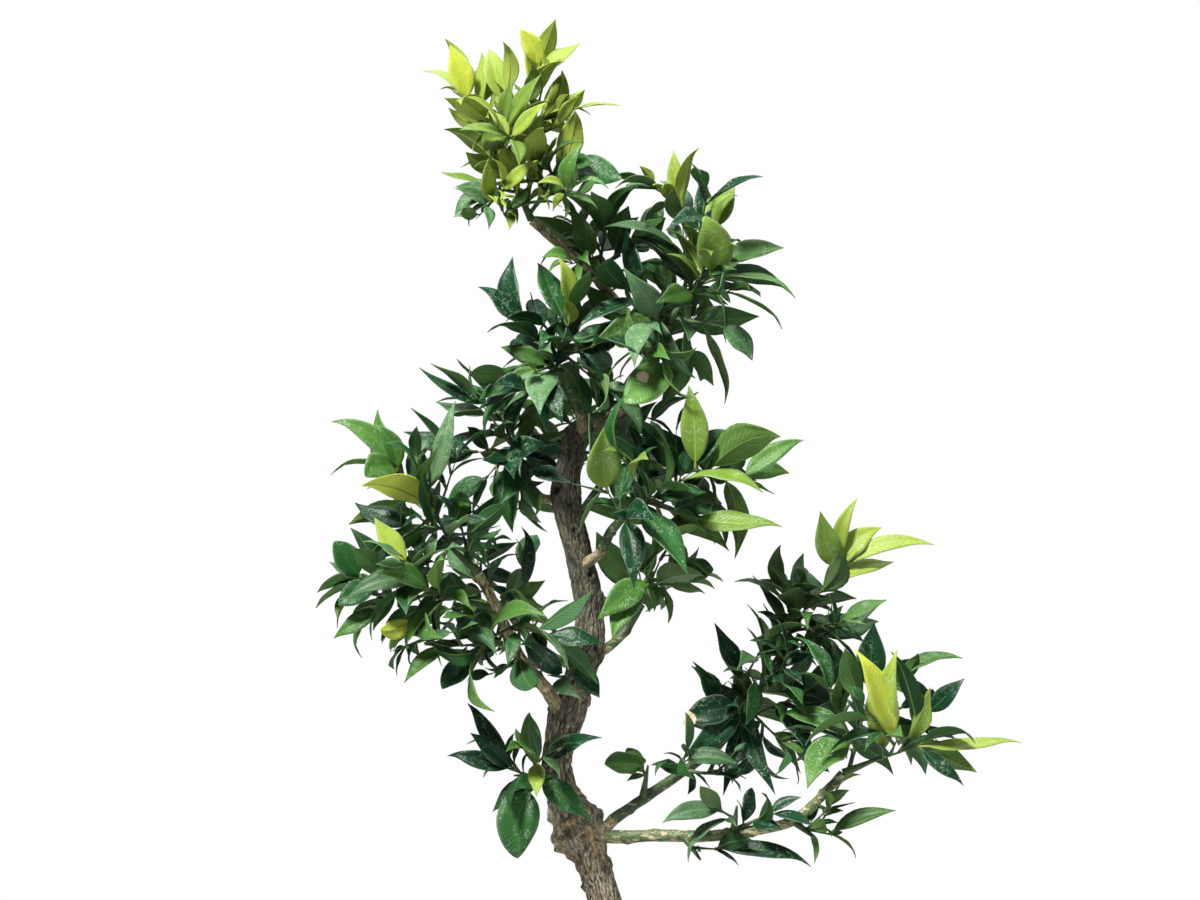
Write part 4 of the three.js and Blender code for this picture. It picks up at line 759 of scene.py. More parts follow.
# Of each mass: where its stem starts, the stem's end, its room by centre and half sizes, its leaves' usual
# length, how many side shoots it has, and its seed. Then the tips of its main shoots. Then of each leaf that
# stands out its tip, its width and, for some, the number of the shoot that it grows on.
masses = {
    "crown_top": (("bough_top", 1), (-41, 3, 514), ((-34, 2, 545), (56, 54, 60)), 35, 3, 325,
        [(-31, 2, 576), (-66, -4, 558), (-48, -14, 546), (-26, 10, 552), (-46, 22, 550), (-56, 0, 516),
         (-18, -6, 526), (-34, -14, 530), (-58, 12, 536)],
        [(-75, -8, 587, 13), (11, -14, 519, 17), (-3, -24, 526, 12), (-73, 0, 503, 10), (-72, -10, 516, 8),
         (-40, -2, 595, 11), (-10, 0, 588, 11)]),
    "crown_inner": (("bough_top", 0.55), (4, 16, 480), ((2, 16, 486), (38, 42, 32)), 36, 0, 110,
        [(4, 14, 500), (18, 22, 490), (-6, 28, 486), (-14, -4, 478)],
        []),
    "crown_right": (("bough_leader", 1), (43, 1, 461), ((40, 2, 470), (58, 60, 66)), 40, 4, 102,
        [(41, 1, 507), (56, -2, 494), (55, -16, 472), (60, -4, 478), (60, -2, 447), (16, -14, 463),
         (26, -24, 448), (56, 24, 482), (36, 28, 464), (32, -20, 430), (46, 16, 436), (26, 4, 486),
         (12, 12, 448)],
        [(37, 0, 535, 9), (67, -2, 521, 11), (92, -8, 485, 14), (52, -30, 499, 18), (12, -34, 408, 20),
         (76, -6, 430, 12)]),
    "crown_left": (("bough_crown_left", 1), (-22, -12, 425), ((-24, -6, 434), (54, 52, 50)), 40, 3, 201,
        [(-36, -13, 446), (-14, -16, 454), (-42, -18, 420), (-4, -26, 436), (-22, 12, 446), (-38, 10, 426),
         (-24, -28, 428), (2, -20, 416)],
        [(-59, -16, 467, 12), (-60, -22, 411, 11), (-20, -24, 480, 10)]),
    "centre_left": (("bough_centre_left", 1), (-44, 14, 388), ((-52, 12, 388), (46, 46, 46)), 42, 2, 210,
        [(-52, 14, 408), (-46, 0, 390), (-62, 8, 384), (-44, 32, 396), (-40, 20, 368), (-34, 0, 376),
         (-56, -2, 372)],
        [(-91, 6, 426, 9), (-78, 2, 356, 13)]),
    "left_upper": (("bough_left", 1), (-72, -39, 336), ((-88, -34, 364), (48, 44, 48)), 42, 2, 228,
        [(-85, -40, 362), (-90, -42, 348), (-99, -42, 374), (-70, -46, 352), (-96, -24, 346),
         (-70, -16, 352), (-60, -44, 344)],
        [(-131, -38, 401, 11), (-110, -44, 398, 10), (-113, -58, 374, 17), (-72, -34, 410, 10)]),
    "left_outer": (("bough_left", 0.72), (-70, -36, 312), ((-98, -32, 318), (44, 44, 36)), 38, 2, 119,
        [(-118, -34, 322), (-108, -34, 308), (-98, -44, 326), (-88, -24, 304), (-110, -12, 316),
         (-84, -50, 316), (-96, -36, 296)],
        [(-131, -38, 293, 10), (-131, -40, 340, 15), (-128, -44, 310, 13)]),
    "left_low": (("bough_left", 0.48), (-52, -28, 290), ((-56, -26, 292), (58, 46, 36)), 40, 2, 228,
        [(-74, -32, 288), (-88, -24, 292), (-62, -42, 302), (-36, -40, 302), (-26, -32, 294),
         (-54, -4, 284), (-64, -30, 274), (-40, -40, 278)],
        [(1, -36, 290, 12), (-78, -32, 268, 12), (-96, -36, 270, 9)]),
    "centre_right": (("bough_centre_right", 1), (18, -26, 355), ((42, -16, 368), (64, 52, 54)), 44, 3, 206,
        [(47, -26, 375), (28, -36, 366), (70, -12, 370), (52, 0, 372), (12, -38, 352), (4, -30, 364),
         (44, -22, 352), (20, -10, 384), (-12, -30, 368), (34, -4, 346)],
        [(44, -26, 417, 14), (2, -46, 395, 18), (88, -40, 350, 14), (101, -10, 391, 11)]),
    "right_mid": (("bough_right", 1), (24, -1, 316), ((32, 0, 324), (38, 40, 38)), 42, 1, 126,
        [(30, -3, 330), (38, 6, 322), (20, 16, 322), (22, -16, 324), (36, -8, 340)],
        [(57, -6, 325, 14), (6, -24, 292, 15)]),
    "right_upper": (("bough_high_right", 1), (72, 28, 248), ((104, 22, 290), (80, 52, 84)), 36, 3, 310,
        [(88, 24, 278), (121, 20, 325), (98, 12, 296), (72, 18, 268), (60, 26, 252), (106, 40, 284),
         (82, 44, 266), (102, 18, 262), (112, 22, 290), (82, 2, 288), (92, -2, 266), (107, 26, 306),
         (70, 8, 256)],
        [(168, 16, 338, 10), (130, 22, 361, 8), (111, 12, 354, 14), (142, 24, 346, 13), (48, 16, 278, 9),
         (143, 10, 310, 10), (88, 0, 214, 10), (62, 8, 211, 9), (42, 6, 249, 16)]),
    "right_outer": (("bough_low_right", 1), (134, -25, 231), ((150, -21, 258), (62, 50, 50)), 42, 2, 356,
        [(157, -31, 239), (146, -39, 243), (134, -9, 264), (120, -25, 252), (150, -3, 256), (128, -1, 244),
         (114, -27, 264), (150, -13, 270), (162, -19, 254)],
        [(127, -50, 287, 15, 2), (145, -50, 286, 16, 1), (207, -33, 243, 8), (179, -37, 221, 9),
         (102, -47, 221, 19), (180, -25, 272, 11), (136, -17, 300, 15)]),
    "spur_knot": (("bough_low_right", 0.72), (100, -23, 198), ((118, -23, 200), (36, 28, 28)), 22, 0, 104,
        [(113, -24, 195), (112, -25, 207)],
        [(146, -27, 207, 9), (115, -29, 185, 8), (128, -25, 194, 7)]),
    "spur_low": (("bough_low_right", 0.52), (67, -22, 203), ((64, -22, 204), (44, 34, 28)), 30, 0, 227,
        [(61, -24, 206), (84, -24, 205)],
        [(31, -28, 202, 11), (90, -34, 198, 9), (88, -16, 208, 9)]),
    "spur_under": (("bough_low_right", 0.36), (46, -16, 187), ((66, -16, 190), (48, 24, 22)), 26, 0, 221,
        [(57, -17, 187)],
        [(104, -24, 182, 10), (34, -20, 183, 6)]),
    "spur_high": (("bough_high_right", 0.45), (23, 1, 221), ((14, -1, 228), (28, 22, 18)), 22, 0, 201,
        [(21, -2, 227)],
        [(2, -9, 228, 14)]),
    "spur_fork": (("bough_high_right", 0.72), (41, 7, 227), ((44, 7, 230), (34, 28, 26)), 28, 0, 229,
        [(43, 3, 233), (34, 1, 228)],
        [(56, -5, 236, 12), (27, -1, 229, 9)]),
    "trunk_cluster": (("trunk", 0.43), (-36, -10, 223), ((-40, -16, 222), (46, 36, 46)), 30, 0, 115,
        [(-43, -13, 226), (-34, -20, 232), (-33, -20, 218)],
        [(-41, -28, 184, 21, 3), (-75, -14, 235, 10), (-65, -8, 260, 9), (-1, -30, 244, 13),
         (-54, -12, 206, 12), (-42, -42, 242, 18), (-10, -16, 234, 12)]),
    "trunk_sprout": (("trunk", 0.66), (-17, -14, 272), ((-14, -18, 270), (30, 26, 16)), 26, 0, 221,
        [(-23, -18, 273)],
        [(0, -24, 262, 11)]),
    "back_high": (("bough_back", 1), (8, 60, 382), ((4, 64, 392), (56, 50, 48)), 40, 1, 119,
        [(26, 66, 398), (-14, 62, 402), (4, 84, 392), (32, 54, 380), (-24, 56, 384), (4, 70, 412),
         (18, 74, 374)],
        []),
    "back_low": (("bough_back_low", 1), (-50, 50, 305), ((-56, 54, 310), (46, 46, 38)), 40, 1, 233,
        [(-64, 54, 318), (-40, 62, 322), (-56, 74, 306), (-76, 44, 304), (-40, 40, 312)],
        []),
}
young_masses = ("crown_top",)  # lush as well, with more fine shoots and larger leaves


def random_from(seed):
    """A repeatable stream of numbers from 0 to 1, the same as the part's."""
    state = (seed * 7919 + 12345) % 2 ** 32
    while True:
        state = (state * 1664525 + 1013904223) % 2 ** 32
        yield state / 2 ** 32


def mix(ends, share):
    return ends[0] + (ends[1] - ends[0]) * share


def unit(direction):
    return direction / math.sqrt(direction @ direction)


def radial_of(axis, turn):
    """The direction square to an axis that lies at an angle round it."""
    side = unit(np.cross(UP if abs(axis[2]) < 0.8 else (0.0, 1.0, 0.0), axis))
    return side * math.cos(turn) + np.cross(axis, side) * math.sin(turn)


class Twig:
    """A stem, shoot or side shoot, thinning to its bud; a long one bends in the middle towards its knee."""

    def __init__(self, kind, start, knee, end, foot, phase):
        self.kind = kind
        self.length = math.dist(start, end)
        middle = start * 0.25 + knee * 0.5 + end * 0.25
        self.joints = [start, end] if self.length < BEND_FROM else [start, middle, end]
        self.foot = foot
        self.phase = phase
        spacing = FINE_SPACING if kind == "fine" else NODE_SPACING
        self.nodes = max(2, math.floor(self.length * (LEAFY[1] - LEAFY[0]) / spacing + 0.5) + 1)

    def stretch(self, along):
        count = len(self.joints) - 1
        step = min(math.floor(along * count), count - 1)
        return self.joints[step], self.joints[step + 1], along * count - step

    def point(self, along):
        low, high, share = self.stretch(along)
        return low + (high - low) * share

    def axis(self, along):
        low, high, _ = self.stretch(along)
        return unit(high - low)

    def radius(self, along):
        return self.foot * (1 - along * self.length / (self.length + BUD[self.kind]))

    def shape(self):
        """The rings of corners up to its bud that others keep clear of."""
        sides = TWIG_SIDES[self.kind]
        turn = self.phase + (self.nodes - 1) / 2 * (GOLDEN_ANGLE - 2 * math.pi / 3) + math.pi / 3
        rings = len(self.joints) - 1
        corners = []
        for ring in range(rings):
            along = ring / rings
            axis = unit(self.axis(max(along - 0.01, 0)) + self.axis(along))
            wide = self.radius(along) + TWIG_MARGIN
            corners += [self.point(along) + wide * radial_of(axis, turn + side * 2 * math.pi / sides)
                        for side in range(sides)]
        corners.append(self.point(1) + self.axis(1) * BUD[self.kind])
        bud = len(corners) - 1
        faces = [(0, side + 1, side) for side in range(1, sides - 1)]
        for side in range(sides):
            after = (side + 1) % sides
            for low in range(0, (rings - 1) * sides, sides):
                faces += [(low + side, low + after, low + sides + after),
                          (low + side, low + sides + after, low + sides + side)]
            faces.append((bud - sides + side, bud - sides + after, bud))
        return Shape(corners, faces)


class Shape:
    """Corners and faces with a sphere round them, for the test whether two pass through each other."""

    def __init__(self, corners, faces):
        self.corners = np.array(corners)
        faces = np.array(faces)
        sides = np.concatenate([faces, np.roll(faces, -1, axis=1)]).reshape(2, -1).T
        sides = sides[sides[:, 0] < sides[:, 1]]
        self.faces = self.corners[faces]
        self.edges = self.corners[sides]
        self.centre = self.corners.mean(axis=0)
        self.reach = np.linalg.norm(self.corners - self.centre, axis=1).max()


def cross(one, two):
    return np.stack([one[..., 1] * two[..., 2] - one[..., 2] * two[..., 1],
                     one[..., 2] * two[..., 0] - one[..., 0] * two[..., 2],
                     one[..., 0] * two[..., 1] - one[..., 1] * two[..., 0]], axis=-1)


def pierce(edges, faces):
    """True if any of the edges passes through any of the faces."""
    along = (edges[:, 1] - edges[:, 0])[:, None]
    side = (faces[:, 1] - faces[:, 0])[None]
    other = (faces[:, 2] - faces[:, 0])[None]
    across = cross(along, other)
    scale = (side * across).sum(-1)
    scale[abs(scale) < 1e-9] = np.nan
    offset = edges[:, None, 0] - faces[None, :, 0]
    first = (offset * across).sum(-1) / scale
    turned = cross(offset, side)
    second = (along * turned).sum(-1) / scale
    reached = (other * turned).sum(-1) / scale
    in_face = (first >= 0) & (second >= 0) & (first + second <= 1)
    return bool((in_face & (reached >= 0) & (reached <= 1)).any())


settled = []  # what has grown so far, with its owner
settled_centres = np.full((MOST_SHAPES, 3), np.inf)
settled_reaches = np.zeros(MOST_SHAPES)
limb_along = np.arange(LIMB_STEPS + 1) / LIMB_STEPS
limb_points = np.concatenate([curve_at(TRUNK_PATH, limb_along)]
                             + [curve_at(path, limb_along) for _, path in boughs.values()])
limb_radii = np.concatenate([trunk_radius(limb_along)]
                            + [bough_radius(radii, limb_along) for radii, _ in boughs.values()])


def settle(shape, owner):
    settled_centres[len(settled)] = shape.centre
    settled_reaches[len(settled)] = shape.reach
    settled.append((shape, owner))


def clashes(shape, owner):
    count = len(settled)
    away = np.linalg.norm(settled_centres[:count] - shape.centre, axis=1)
    near = [settled[i][0] for i in np.nonzero(away < settled_reaches[:count] + shape.reach)[0]
            if owner is None or settled[i][1] != owner]
    if not near:
        return False
    faces = np.concatenate([other.faces for other in near])
    edges = np.concatenate([other.edges for other in near])
    return pierce(shape.edges, faces) or pierce(edges, shape.faces)


def clear_of_limbs(points, centre, reach, margin):
    near = np.linalg.norm(limb_points - centre, axis=1) < reach + limb_radii + margin
    gaps = np.linalg.norm(points[:, None] - limb_points[near][None], axis=-1)
    return bool((gaps > limb_radii[near] + margin).all())


open_places = []  # none while the part's own twigs and leaves grow


def in_sky(point):
    return any(math.hypot((point[0] - x) / wide, (point[2] - z) / high) < 1
               for x, z, wide, high in open_places)


def inside(point, room):
    centre, half = np.array(room)
    return (((point - centre) / half) ** SPACE_POWER).sum() < 1 and not in_sky(point)


def fork_to(twigs, tip, stiffness, shortest, only=None):
    """The cheapest way from the twigs to a point: short, and little turned from the way a twig runs."""
    best = (math.inf,)
    for place, twig in enumerate(twigs):
        if only and place != only:
            continue
        for step in range(2, FORK_STEPS + 1):
            along = step / FORK_STEPS
            start = twig.point(along)
            run = tip - start
            length = math.sqrt(run @ run)
            axis = twig.axis(along)
            cost = length * stiffness - axis @ run
            if length > shortest and cost < best[0]:
                best = (cost, start, axis, run, length, twig.radius(along), place)
    return best[1:]


def main_shoot(twigs, tip, random):
    start, axis, run, length, wood, _ = fork_to(twigs, tip, FORK_STIFFNESS, 0)
    sway = np.array([next(random) - 0.5, next(random) - 0.5, next(random) - 0.5])
    knee = start + axis * length * KNEE_ALONG_PARENT + run * KNEE_ALONG_RUN + sway * length * KNEE_SWAY
    foot = max(wood * SHOOT_SHARE, THINNEST_FOOT)
    return Twig("shoot", start, knee, tip, foot, next(random) * 2 * math.pi)


def side_shoot(kind, parent, index, random, lengths, starts):
    """Forks off another shoot at the golden angle from the one before, and lifts towards the light."""
    along = mix(starts, next(random))
    length = mix(lengths, next(random))
    turn = index * GOLDEN_ANGLE + next(random)
    lift = mix(SIDE_LIFT, next(random))
    phase = next(random) * 2 * math.pi
    start = parent.point(along)
    axis = parent.axis(along)
    way = unit(radial_of(axis, turn) + axis * SIDE_FORWARD + UP * lift)
    end = start + way * length + UP * length * SIDE_RISE
    foot = max(parent.radius(along) * SHOOT_SHARE, THINNEST_FOOT)
    return Twig(kind, start, start + way * length * 0.5, end, foot, phase)


def add_side_shoot(crown, shoot, parent_place):
    path = np.array([shoot.point(along) for along in OFF_BARK])
    shape = shoot.shape()
    off_bark = clear_of_limbs(path, shape.centre, shape.reach, LIMB_MARGIN + shoot.foot)
    if off_bark and inside(path[-1], crown["room"]) and not clashes(shape, (crown["name"], parent_place)):
        settle(shape, (crown["name"], len(crown["twigs"])))
        crown["twigs"].append(shoot)


SOLID_LEAF_FACES = ((0, 2, 5), (2, 4, 5), (4, 6, 5), (6, 3, 5), (3, 1, 5), (1, 0, 5), (0, 1, 6), (1, 3, 6),
                    (0, 6, 2), (2, 6, 4))


class Leaf:
    """From its foot along way, with its upper side towards face. It droops by curl and folds up by fold."""

    stands_out = False

    def __init__(self, foot, way, face, length, width, curl, fold):
        self.foot, self.way, self.face = foot, way, face
        self.length, self.width, self.curl, self.fold = length, width, curl, fold
        self.side = unit(np.cross(way, face))

    def at(self, forward, sideways, rise):
        return (self.foot + self.way * forward * self.length + self.side * sideways * self.width
                + self.face * (rise - forward * self.curl * self.length))

    def shape(self):
        lift = LEAF_THICKNESS / 2 + self.fold * self.width
        edges = [self.at(forward, half * hand, lift * 2 * half)
                 for forward, half in LEAF_OUTLINE for hand in (-1, 1)]
        ridge = self.at(LEAF_RIDGE, 0, LEAF_THICKNESS)
        return Shape([self.at(LEAF_STALK, 0, 0), *edges, ridge, self.at(1, 0, 0)], SOLID_LEAF_FACES)


def add_leaf(crown, leaf, owner, place):
    """Keeps a leaf if it stays in its mass's room, off the bark and clear of what has grown before it."""
    if not inside(leaf.at(1, 0, 0), crown["room"]):
        return False
    shape = leaf.shape()
    on_edges = [shape.edges[:, 0] + (shape.edges[:, 1] - shape.edges[:, 0]) * share for share in EDGE_STEPS]
    points = np.concatenate([*on_edges, shape.faces.mean(axis=1)])
    if not clear_of_limbs(points, shape.centre, shape.reach, LIMB_MARGIN) or clashes(shape, owner):
        return False
    settle(shape, None)
    crown["leaves"].append((leaf, place))
    return True


def standout_leaf(crown, x, y, z, width, shoot=None):
    """A leaf that stands out grows straight to its named tip, its upper side turned up and to the front."""
    tip = np.array([x, y, z], float)
    start, _, run, length, _, place = fork_to(crown["twigs"], tip, STANDOUT_STIFFNESS, STANDOUT_LENGTH, shoot)
    way = unit(run)
    face = np.array(STANDOUT_FACE)
    face = unit(face - (face @ way) * way)
    leaf = Leaf(start, way, face, length, width, 0, STANDOUT_FOLD)
    leaf.stands_out = True
    add_leaf(crown, leaf, (crown["name"], place), place)


def seeded_leaf(crown, place, node, random, scale=1.0, turned=0.0):
    """Other leaves stand round their twig at the golden angle, closer to its line towards its tip."""
    twig = crown["twigs"][place]
    share = node / (twig.nodes - 1)
    at_end = LAST_LEAVES_SIZE if share > LAST_LEAVES_FROM else 1
    on_side = SIDE_LEAF_SIZE if twig.kind == "side" else 1
    size = crown["leaf"] * mix(LEAF_SIZE, next(random)) * at_end * on_side * scale
    slender = mix(LEAF_WIDTH, next(random))
    turn = twig.phase + node * GOLDEN_ANGLE + (next(random) - 0.5) * TURN_PLAY + turned
    spread = mix(SPREAD, share ** SPREAD_POWER) + (next(random) - 0.5) * SPREAD_PLAY
    roll = (next(random) - 0.5) * ROLL_PLAY
    curl = mix(CURL, next(random))
    fold = mix(FOLD, next(random))
    along = mix(LEAFY, share)
    foot, axis = twig.point(along), twig.axis(along)
    rise = YOUNG_RISE if crown["name"] in young_masses else MATURE_RISE
    for attempt in range(TRIES):
        aside = (1 if attempt % 2 else -1) * math.ceil(attempt / 2) * TURN_ASIDE
        radial = radial_of(axis, turn + aside)
        way = unit(axis * math.cos(spread) + radial * math.sin(spread) + UP * rise)
        face = axis * FACE_ALONG + UP * FACE_UP + radial * FACE_OUT
        face = unit(face - (face @ way) * way)
        face = np.cross(way, face) * math.sin(roll) + face * math.cos(roll)
        length = size * SHRINK ** attempt
        leaf = Leaf(foot, way, face, length, length * slender, curl, fold)
        if add_leaf(crown, leaf, (crown["name"], place), place):
            return


crowns = []
for name, (seat, heart, room, leaf, side_shoots, seed, tips, standouts) in masses.items():
    random = random_from(seed)
    carrier, along = seat
    radii, path = boughs.get(carrier, (None, TRUNK_PATH))
    heart = np.array(heart, float)
    start = curve_at(path, along)
    lean = direction_at(path, 1.0) if along == 1 else unit(heart - start)
    if along == 1:
        start = start + lean * CLEAR
    knee = start + lean * math.dist(start, heart) * STEM_KNEE
    foot = float(bough_radius(radii, 1.0)) if along == 1 else STEM_RADIUS
    twigs = [Twig("stem", start, knee, heart, foot, 0)]
    for tip in tips:
        twigs.append(main_shoot(twigs, np.array(tip, float), random))
    crowns.append({"name": name, "room": room, "leaf": leaf, "side_shoots": side_shoots, "seed": seed,
                   "random": random, "standouts": standouts, "twigs": twigs, "leaves": []})
for crown in crowns:
    for place, twig in enumerate(crown["twigs"]):
        settle(twig.shape(), (crown["name"], place))
for crown in crowns:
    for standout in crown["standouts"]:
        standout_leaf(crown, *standout)
for crown in crowns:
    mains = crown["twigs"][1:]
    for i in range(crown["side_shoots"]):
        shoot = side_shoot("side", mains[i % len(mains)], i, crown["random"], SIDE_LENGTH, SIDE_START)
        add_side_shoot(crown, shoot, i % len(mains) + 1)
for crown in crowns:
    for place, twig in enumerate(crown["twigs"]):
        for node in range(twig.nodes if twig.kind != "stem" else 0):
            seeded_leaf(crown, place, node, crown["random"])

# From here on the scene carries the rule further: finer shoots off every shoot, and more leaves at each node.
open_places = sky_gaps
for crown in crowns:
    random = random_from(crown["seed"] + FINE_SEED)
    centre, half = crown["room"]
    crown["room"] = (centre, tuple(FINE_ROOM * side for side in half))
    crown["leaves"] = [(leaf, place) for leaf, place in crown["leaves"]
                       if leaf.stands_out or not in_sky(leaf.at(0.5, 0, 0))]
    for tip in further_tips.get(crown["name"], ()):
        shoot = main_shoot(crown["twigs"], np.array(tip, float), random)
        settle(shoot.shape(), (crown["name"], len(crown["twigs"])))
        crown["twigs"].append(shoot)
        for node in range(shoot.nodes):
            seeded_leaf(crown, len(crown["twigs"]) - 1, node, random, mix(LUSH_LEAF_SIZE, next(random)))
    parents = list(crown["twigs"])
    lush = crown["name"] in young_masses
    share, size = (LUSH_SHOOTS, LUSH_LEAF_SIZE) if lush else (FINE_SHOOTS, FINE_LEAF_SIZE)
    for i in range(round(share * len(parents))):
        place = i % len(parents)
        shoot = side_shoot("fine", parents[place], i, random, FINE_LENGTH, FINE_START)
        add_side_shoot(crown, shoot, place)
    for place in range(len(parents), len(crown["twigs"])):
        for node in range(crown["twigs"][place].nodes):
            seeded_leaf(crown, place, node, random, mix(size, next(random)))
    for place in range(1, len(crown["twigs"])):
        for node in range(crown["twigs"][place].nodes):
            seeded_leaf(crown, place, node, random, mix(FILL_LEAF_SIZE, next(random)), FILL_TURN)

TUBE_STEP = 1.5
TUBE_SIDES = 8
BUD_SHARE = 0.55  # of the length to its bud's tip, how far a twig's tube goes on past its end
BEND_SOFTNESS = 4  # over which length to either side its bends are evened out
BEND_SAMPLES = 7
FEWEST_RINGS = 6
NODE_SWELL = (0.3, 1.2)  # how far a twig swells where a leaf stands, and over what length
TWIG_GREEN = (0.06, 0.115, 0.03)
TWIG_DARK = (0.028, 0.06, 0.022)
TWIG_PALE = (0.17, 0.21, 0.07)


def tube_rings(centres, widths, sides, out, side):
    """Round rings about each centre, in the plane of the two directions given for it."""
    turns = np.arange(sides) * 2 * math.pi / sides
    spokes = np.cos(turns)[:, None] * out[..., None, :] + np.sin(turns)[:, None] * side[..., None, :]
    return centres[..., None, :] + widths[..., None, None] * spokes


def twig_point(twig, along):
    """A point of the twig, or of its bud where along is past its end."""
    return twig.point(min(along, 1)) + max(along - 1, 0) * twig.length * twig.axis(1)


twig_corners = []
twig_faces = []
for crown in crowns:
    for twig in crown["twigs"]:
        reach = twig.length + BUD[twig.kind] * BUD_SHARE
        count = max(FEWEST_RINGS, math.ceil(reach / TUBE_STEP))
        run = np.linspace(0, reach, count)
        window = np.linspace(-1, 1, BEND_SAMPLES) * min(BEND_SOFTNESS, twig.length / 3)
        centres = []
        for place in run:
            shares = (place + window * min(1, place / BEND_SOFTNESS)) / twig.length
            centres.append(np.mean([twig_point(twig, share) for share in np.maximum(shares, 0)], axis=0))
        widths = twig.foot * (1 - run / (twig.length + BUD[twig.kind]))
        for node in range(twig.nodes if twig.kind != "stem" else 0):
            at = mix(LEAFY, node / (twig.nodes - 1)) * twig.length
            widths = widths * (1 + NODE_SWELL[0] * np.exp(-(((run - at) / NODE_SWELL[1]) ** 2)))
        centres = np.array(centres)
        ahead = np.gradient(centres, axis=0)
        ahead /= np.linalg.norm(ahead, axis=1)[:, None]
        out, side = frames_along(ahead, bearing_for(ahead.mean(axis=0)[None]))
        rings = tube_rings(centres, widths, TUBE_SIDES, out, side)
        twig_faces += [[len(twig_corners) + corner for corner in face]
                       for face in closed_faces(count, TUBE_SIDES)]
        twig_corners += [*rings.reshape(-1, 3), centres[0], centres[-1]]

twig_bark = Finish("twig_green", Roughness=0.5)
twig_place = twig_bark.place()
twig_tone = twig_bark.cloud(twig_place, 5, 3).between(0.35, 0.65)
twig_flecks = twig_bark.cloud(twig_place, 0.8, 2).between(0.62, 0.7)
twig_colour = twig_bark.blend(twig_tone, TWIG_DARK, TWIG_GREEN)
twig_colour = twig_bark.blend(twig_flecks * 0.5, twig_colour, TWIG_PALE)
twig_bark.wear(twig_colour, 0.42 + twig_tone * 0.15, twig_bark.cloud(twig_place, 0.9, 3), 0.15)
twigs_piece = make_piece("twigs", twig_corners, twig_faces, [twig_bark.material])
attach(twigs_piece, "root")
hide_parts(*masses)

# The leaves are lance-shaped to oval with a drawn-out point, folded along the midrib, arched and a bit wavy.
# Each blade is a thin closed mesh with a glossy upper side and a pale, matt underside. They are dealt out by
# spray to pieces of one tint each, from old dark green to young yellow-green.
BLADE_START = 0.085  # of the leaf's length, where the stalk ends
# The blade's outline from its foot to its tip: share of its length, and half width as a share of its width.
BLADE_OUTLINE = [(0, 0), (0.055, 0.15), (0.14, 0.31), (0.26, 0.445), (0.4, 0.5), (0.53, 0.475), (0.65, 0.385),
                 (0.76, 0.268), (0.85, 0.162), (0.925, 0.078), (0.975, 0.031), (1, 0)]
ROUND_OUTLINE = [(0, 0), (0.055, 0.22), (0.14, 0.38), (0.26, 0.475), (0.4, 0.505), (0.53, 0.5), (0.65, 0.46),
                 (0.76, 0.385), (0.85, 0.29), (0.925, 0.18), (0.975, 0.085), (1, 0)]
BROAD = (0.48, 0.6)  # the widths, as shares of its length, over which a leaf that stands out turns round
BLADE_ROWS = 15
BLADE_COLUMNS = 6
COLUMN_POWER = 0.85  # which sets the columns closer together towards the rim
BLADE_THICKNESS = (0.42, 0.22)  # at the midrib and at the rim
BLADE_LIFT = 0.3  # off the middle of its stalk
BLADE_SWELL = 0.1  # how far each half bulges, as a share of the half width
BLADE_SLIM = 0.8  # of the width that the rule keeps clear for a leaf; those that stand out fill it
ARCH = (0.0, 0.17)
STANDOUT_ARCH = 0.4  # of the arch that others have
SIDE_BEND = 0.11
TWIST = 0.5
WAVE = (0.015, 0.05)  # how high the rim's waves are, as a share of the leaf's width
WAVE_TURNS = 13  # how often they follow each other along the leaf, in radians
WAVE_PLAY = 6.3  # how far they differ from leaf to leaf, in radians
WAVE_OFFSET = 2.1  # and between a leaf's two halves
TIP_BEND = (-0.8, 2.8)
TIP_BEND_FROM = 0.78
tints = {
    # upper side, its lighter patches, underside, roughness
    "deep": ((0.002, 0.031, 0.012), (0.009, 0.07, 0.024), (0.033, 0.112, 0.035), 0.31),
    "green": ((0.012, 0.093, 0.019), (0.045, 0.17, 0.036), (0.082, 0.196, 0.05), 0.33),
    "moss": ((0.05, 0.162, 0.022), (0.11, 0.265, 0.043), (0.135, 0.26, 0.056), 0.35),
    "sage": ((0.055, 0.16, 0.052), (0.15, 0.3, 0.13), (0.16, 0.27, 0.1), 0.38),
    "fresh": ((0.135, 0.245, 0.028), (0.215, 0.345, 0.05), (0.2, 0.31, 0.06), 0.36),
    "bright": ((0.25, 0.37, 0.035), (0.35, 0.47, 0.062), (0.33, 0.43, 0.07), 0.38),
    "lime": ((0.5, 0.6, 0.045), (0.6, 0.68, 0.08), (0.52, 0.6, 0.085), 0.4),
}
mature_tints = (("deep", 0.32), ("green", 0.3), ("moss", 0.23), ("sage", 0.15))  # and their shares
young_tints = ("fresh", "bright", "lime")
FRESH_SHARE = 0.2  # of the sprays of a young mass, and the rest are bright
# Dry, bleached patches where three leaves are damaged: middle and radius.
dry_patches = [((44.5, 7, 250), 4.2), ((21, -28, 421), 3.4), ((-21, -18, 237), 1.7)]
DRY_COLOUR = (0.74, 0.6, 0.4)
AGE_STEP = 0.37
VEIN_SLANT = 0.55
VEIN_TURNS = 88  # of the wave that makes them, in radians along the leaf
# The colour of the leaves' pale dust, and of the highlight painted along their rims.
PALE_DUST_AND_HIGHLIGHT = (0.5, 0.6, 0.46)
UNDER_LIGHTER = 1.25  # the underside's patches, against its own colour
# Painted shade: leaves deep inside a mass are darkened towards this colour, and their pale dust and rims are
# left out.
PAINTED_SHADE_FROM = 1.1  # leaves nearer to a mass's heart than this, as a share of its half size, are darker
PAINTED_SHADE_COLOUR = (0.0, 0.018, 0.006)
PAINTED_SHADE_SHARES = (0.85, 0.35)  # how strongly this shows on mature and on young leaves
# Painted light and shade: sprays that end high and in front are dealt lighter tints, and those low and behind
# darker ones.
PAINTED_LIGHT_TINT_SHIFT = 0.3  # how far sprays that end high and in front are lighter
HIGH_SHARE, FRONT_SHARE = 0.5, 0.35  # and how much either counts
TINT_SEED = 7
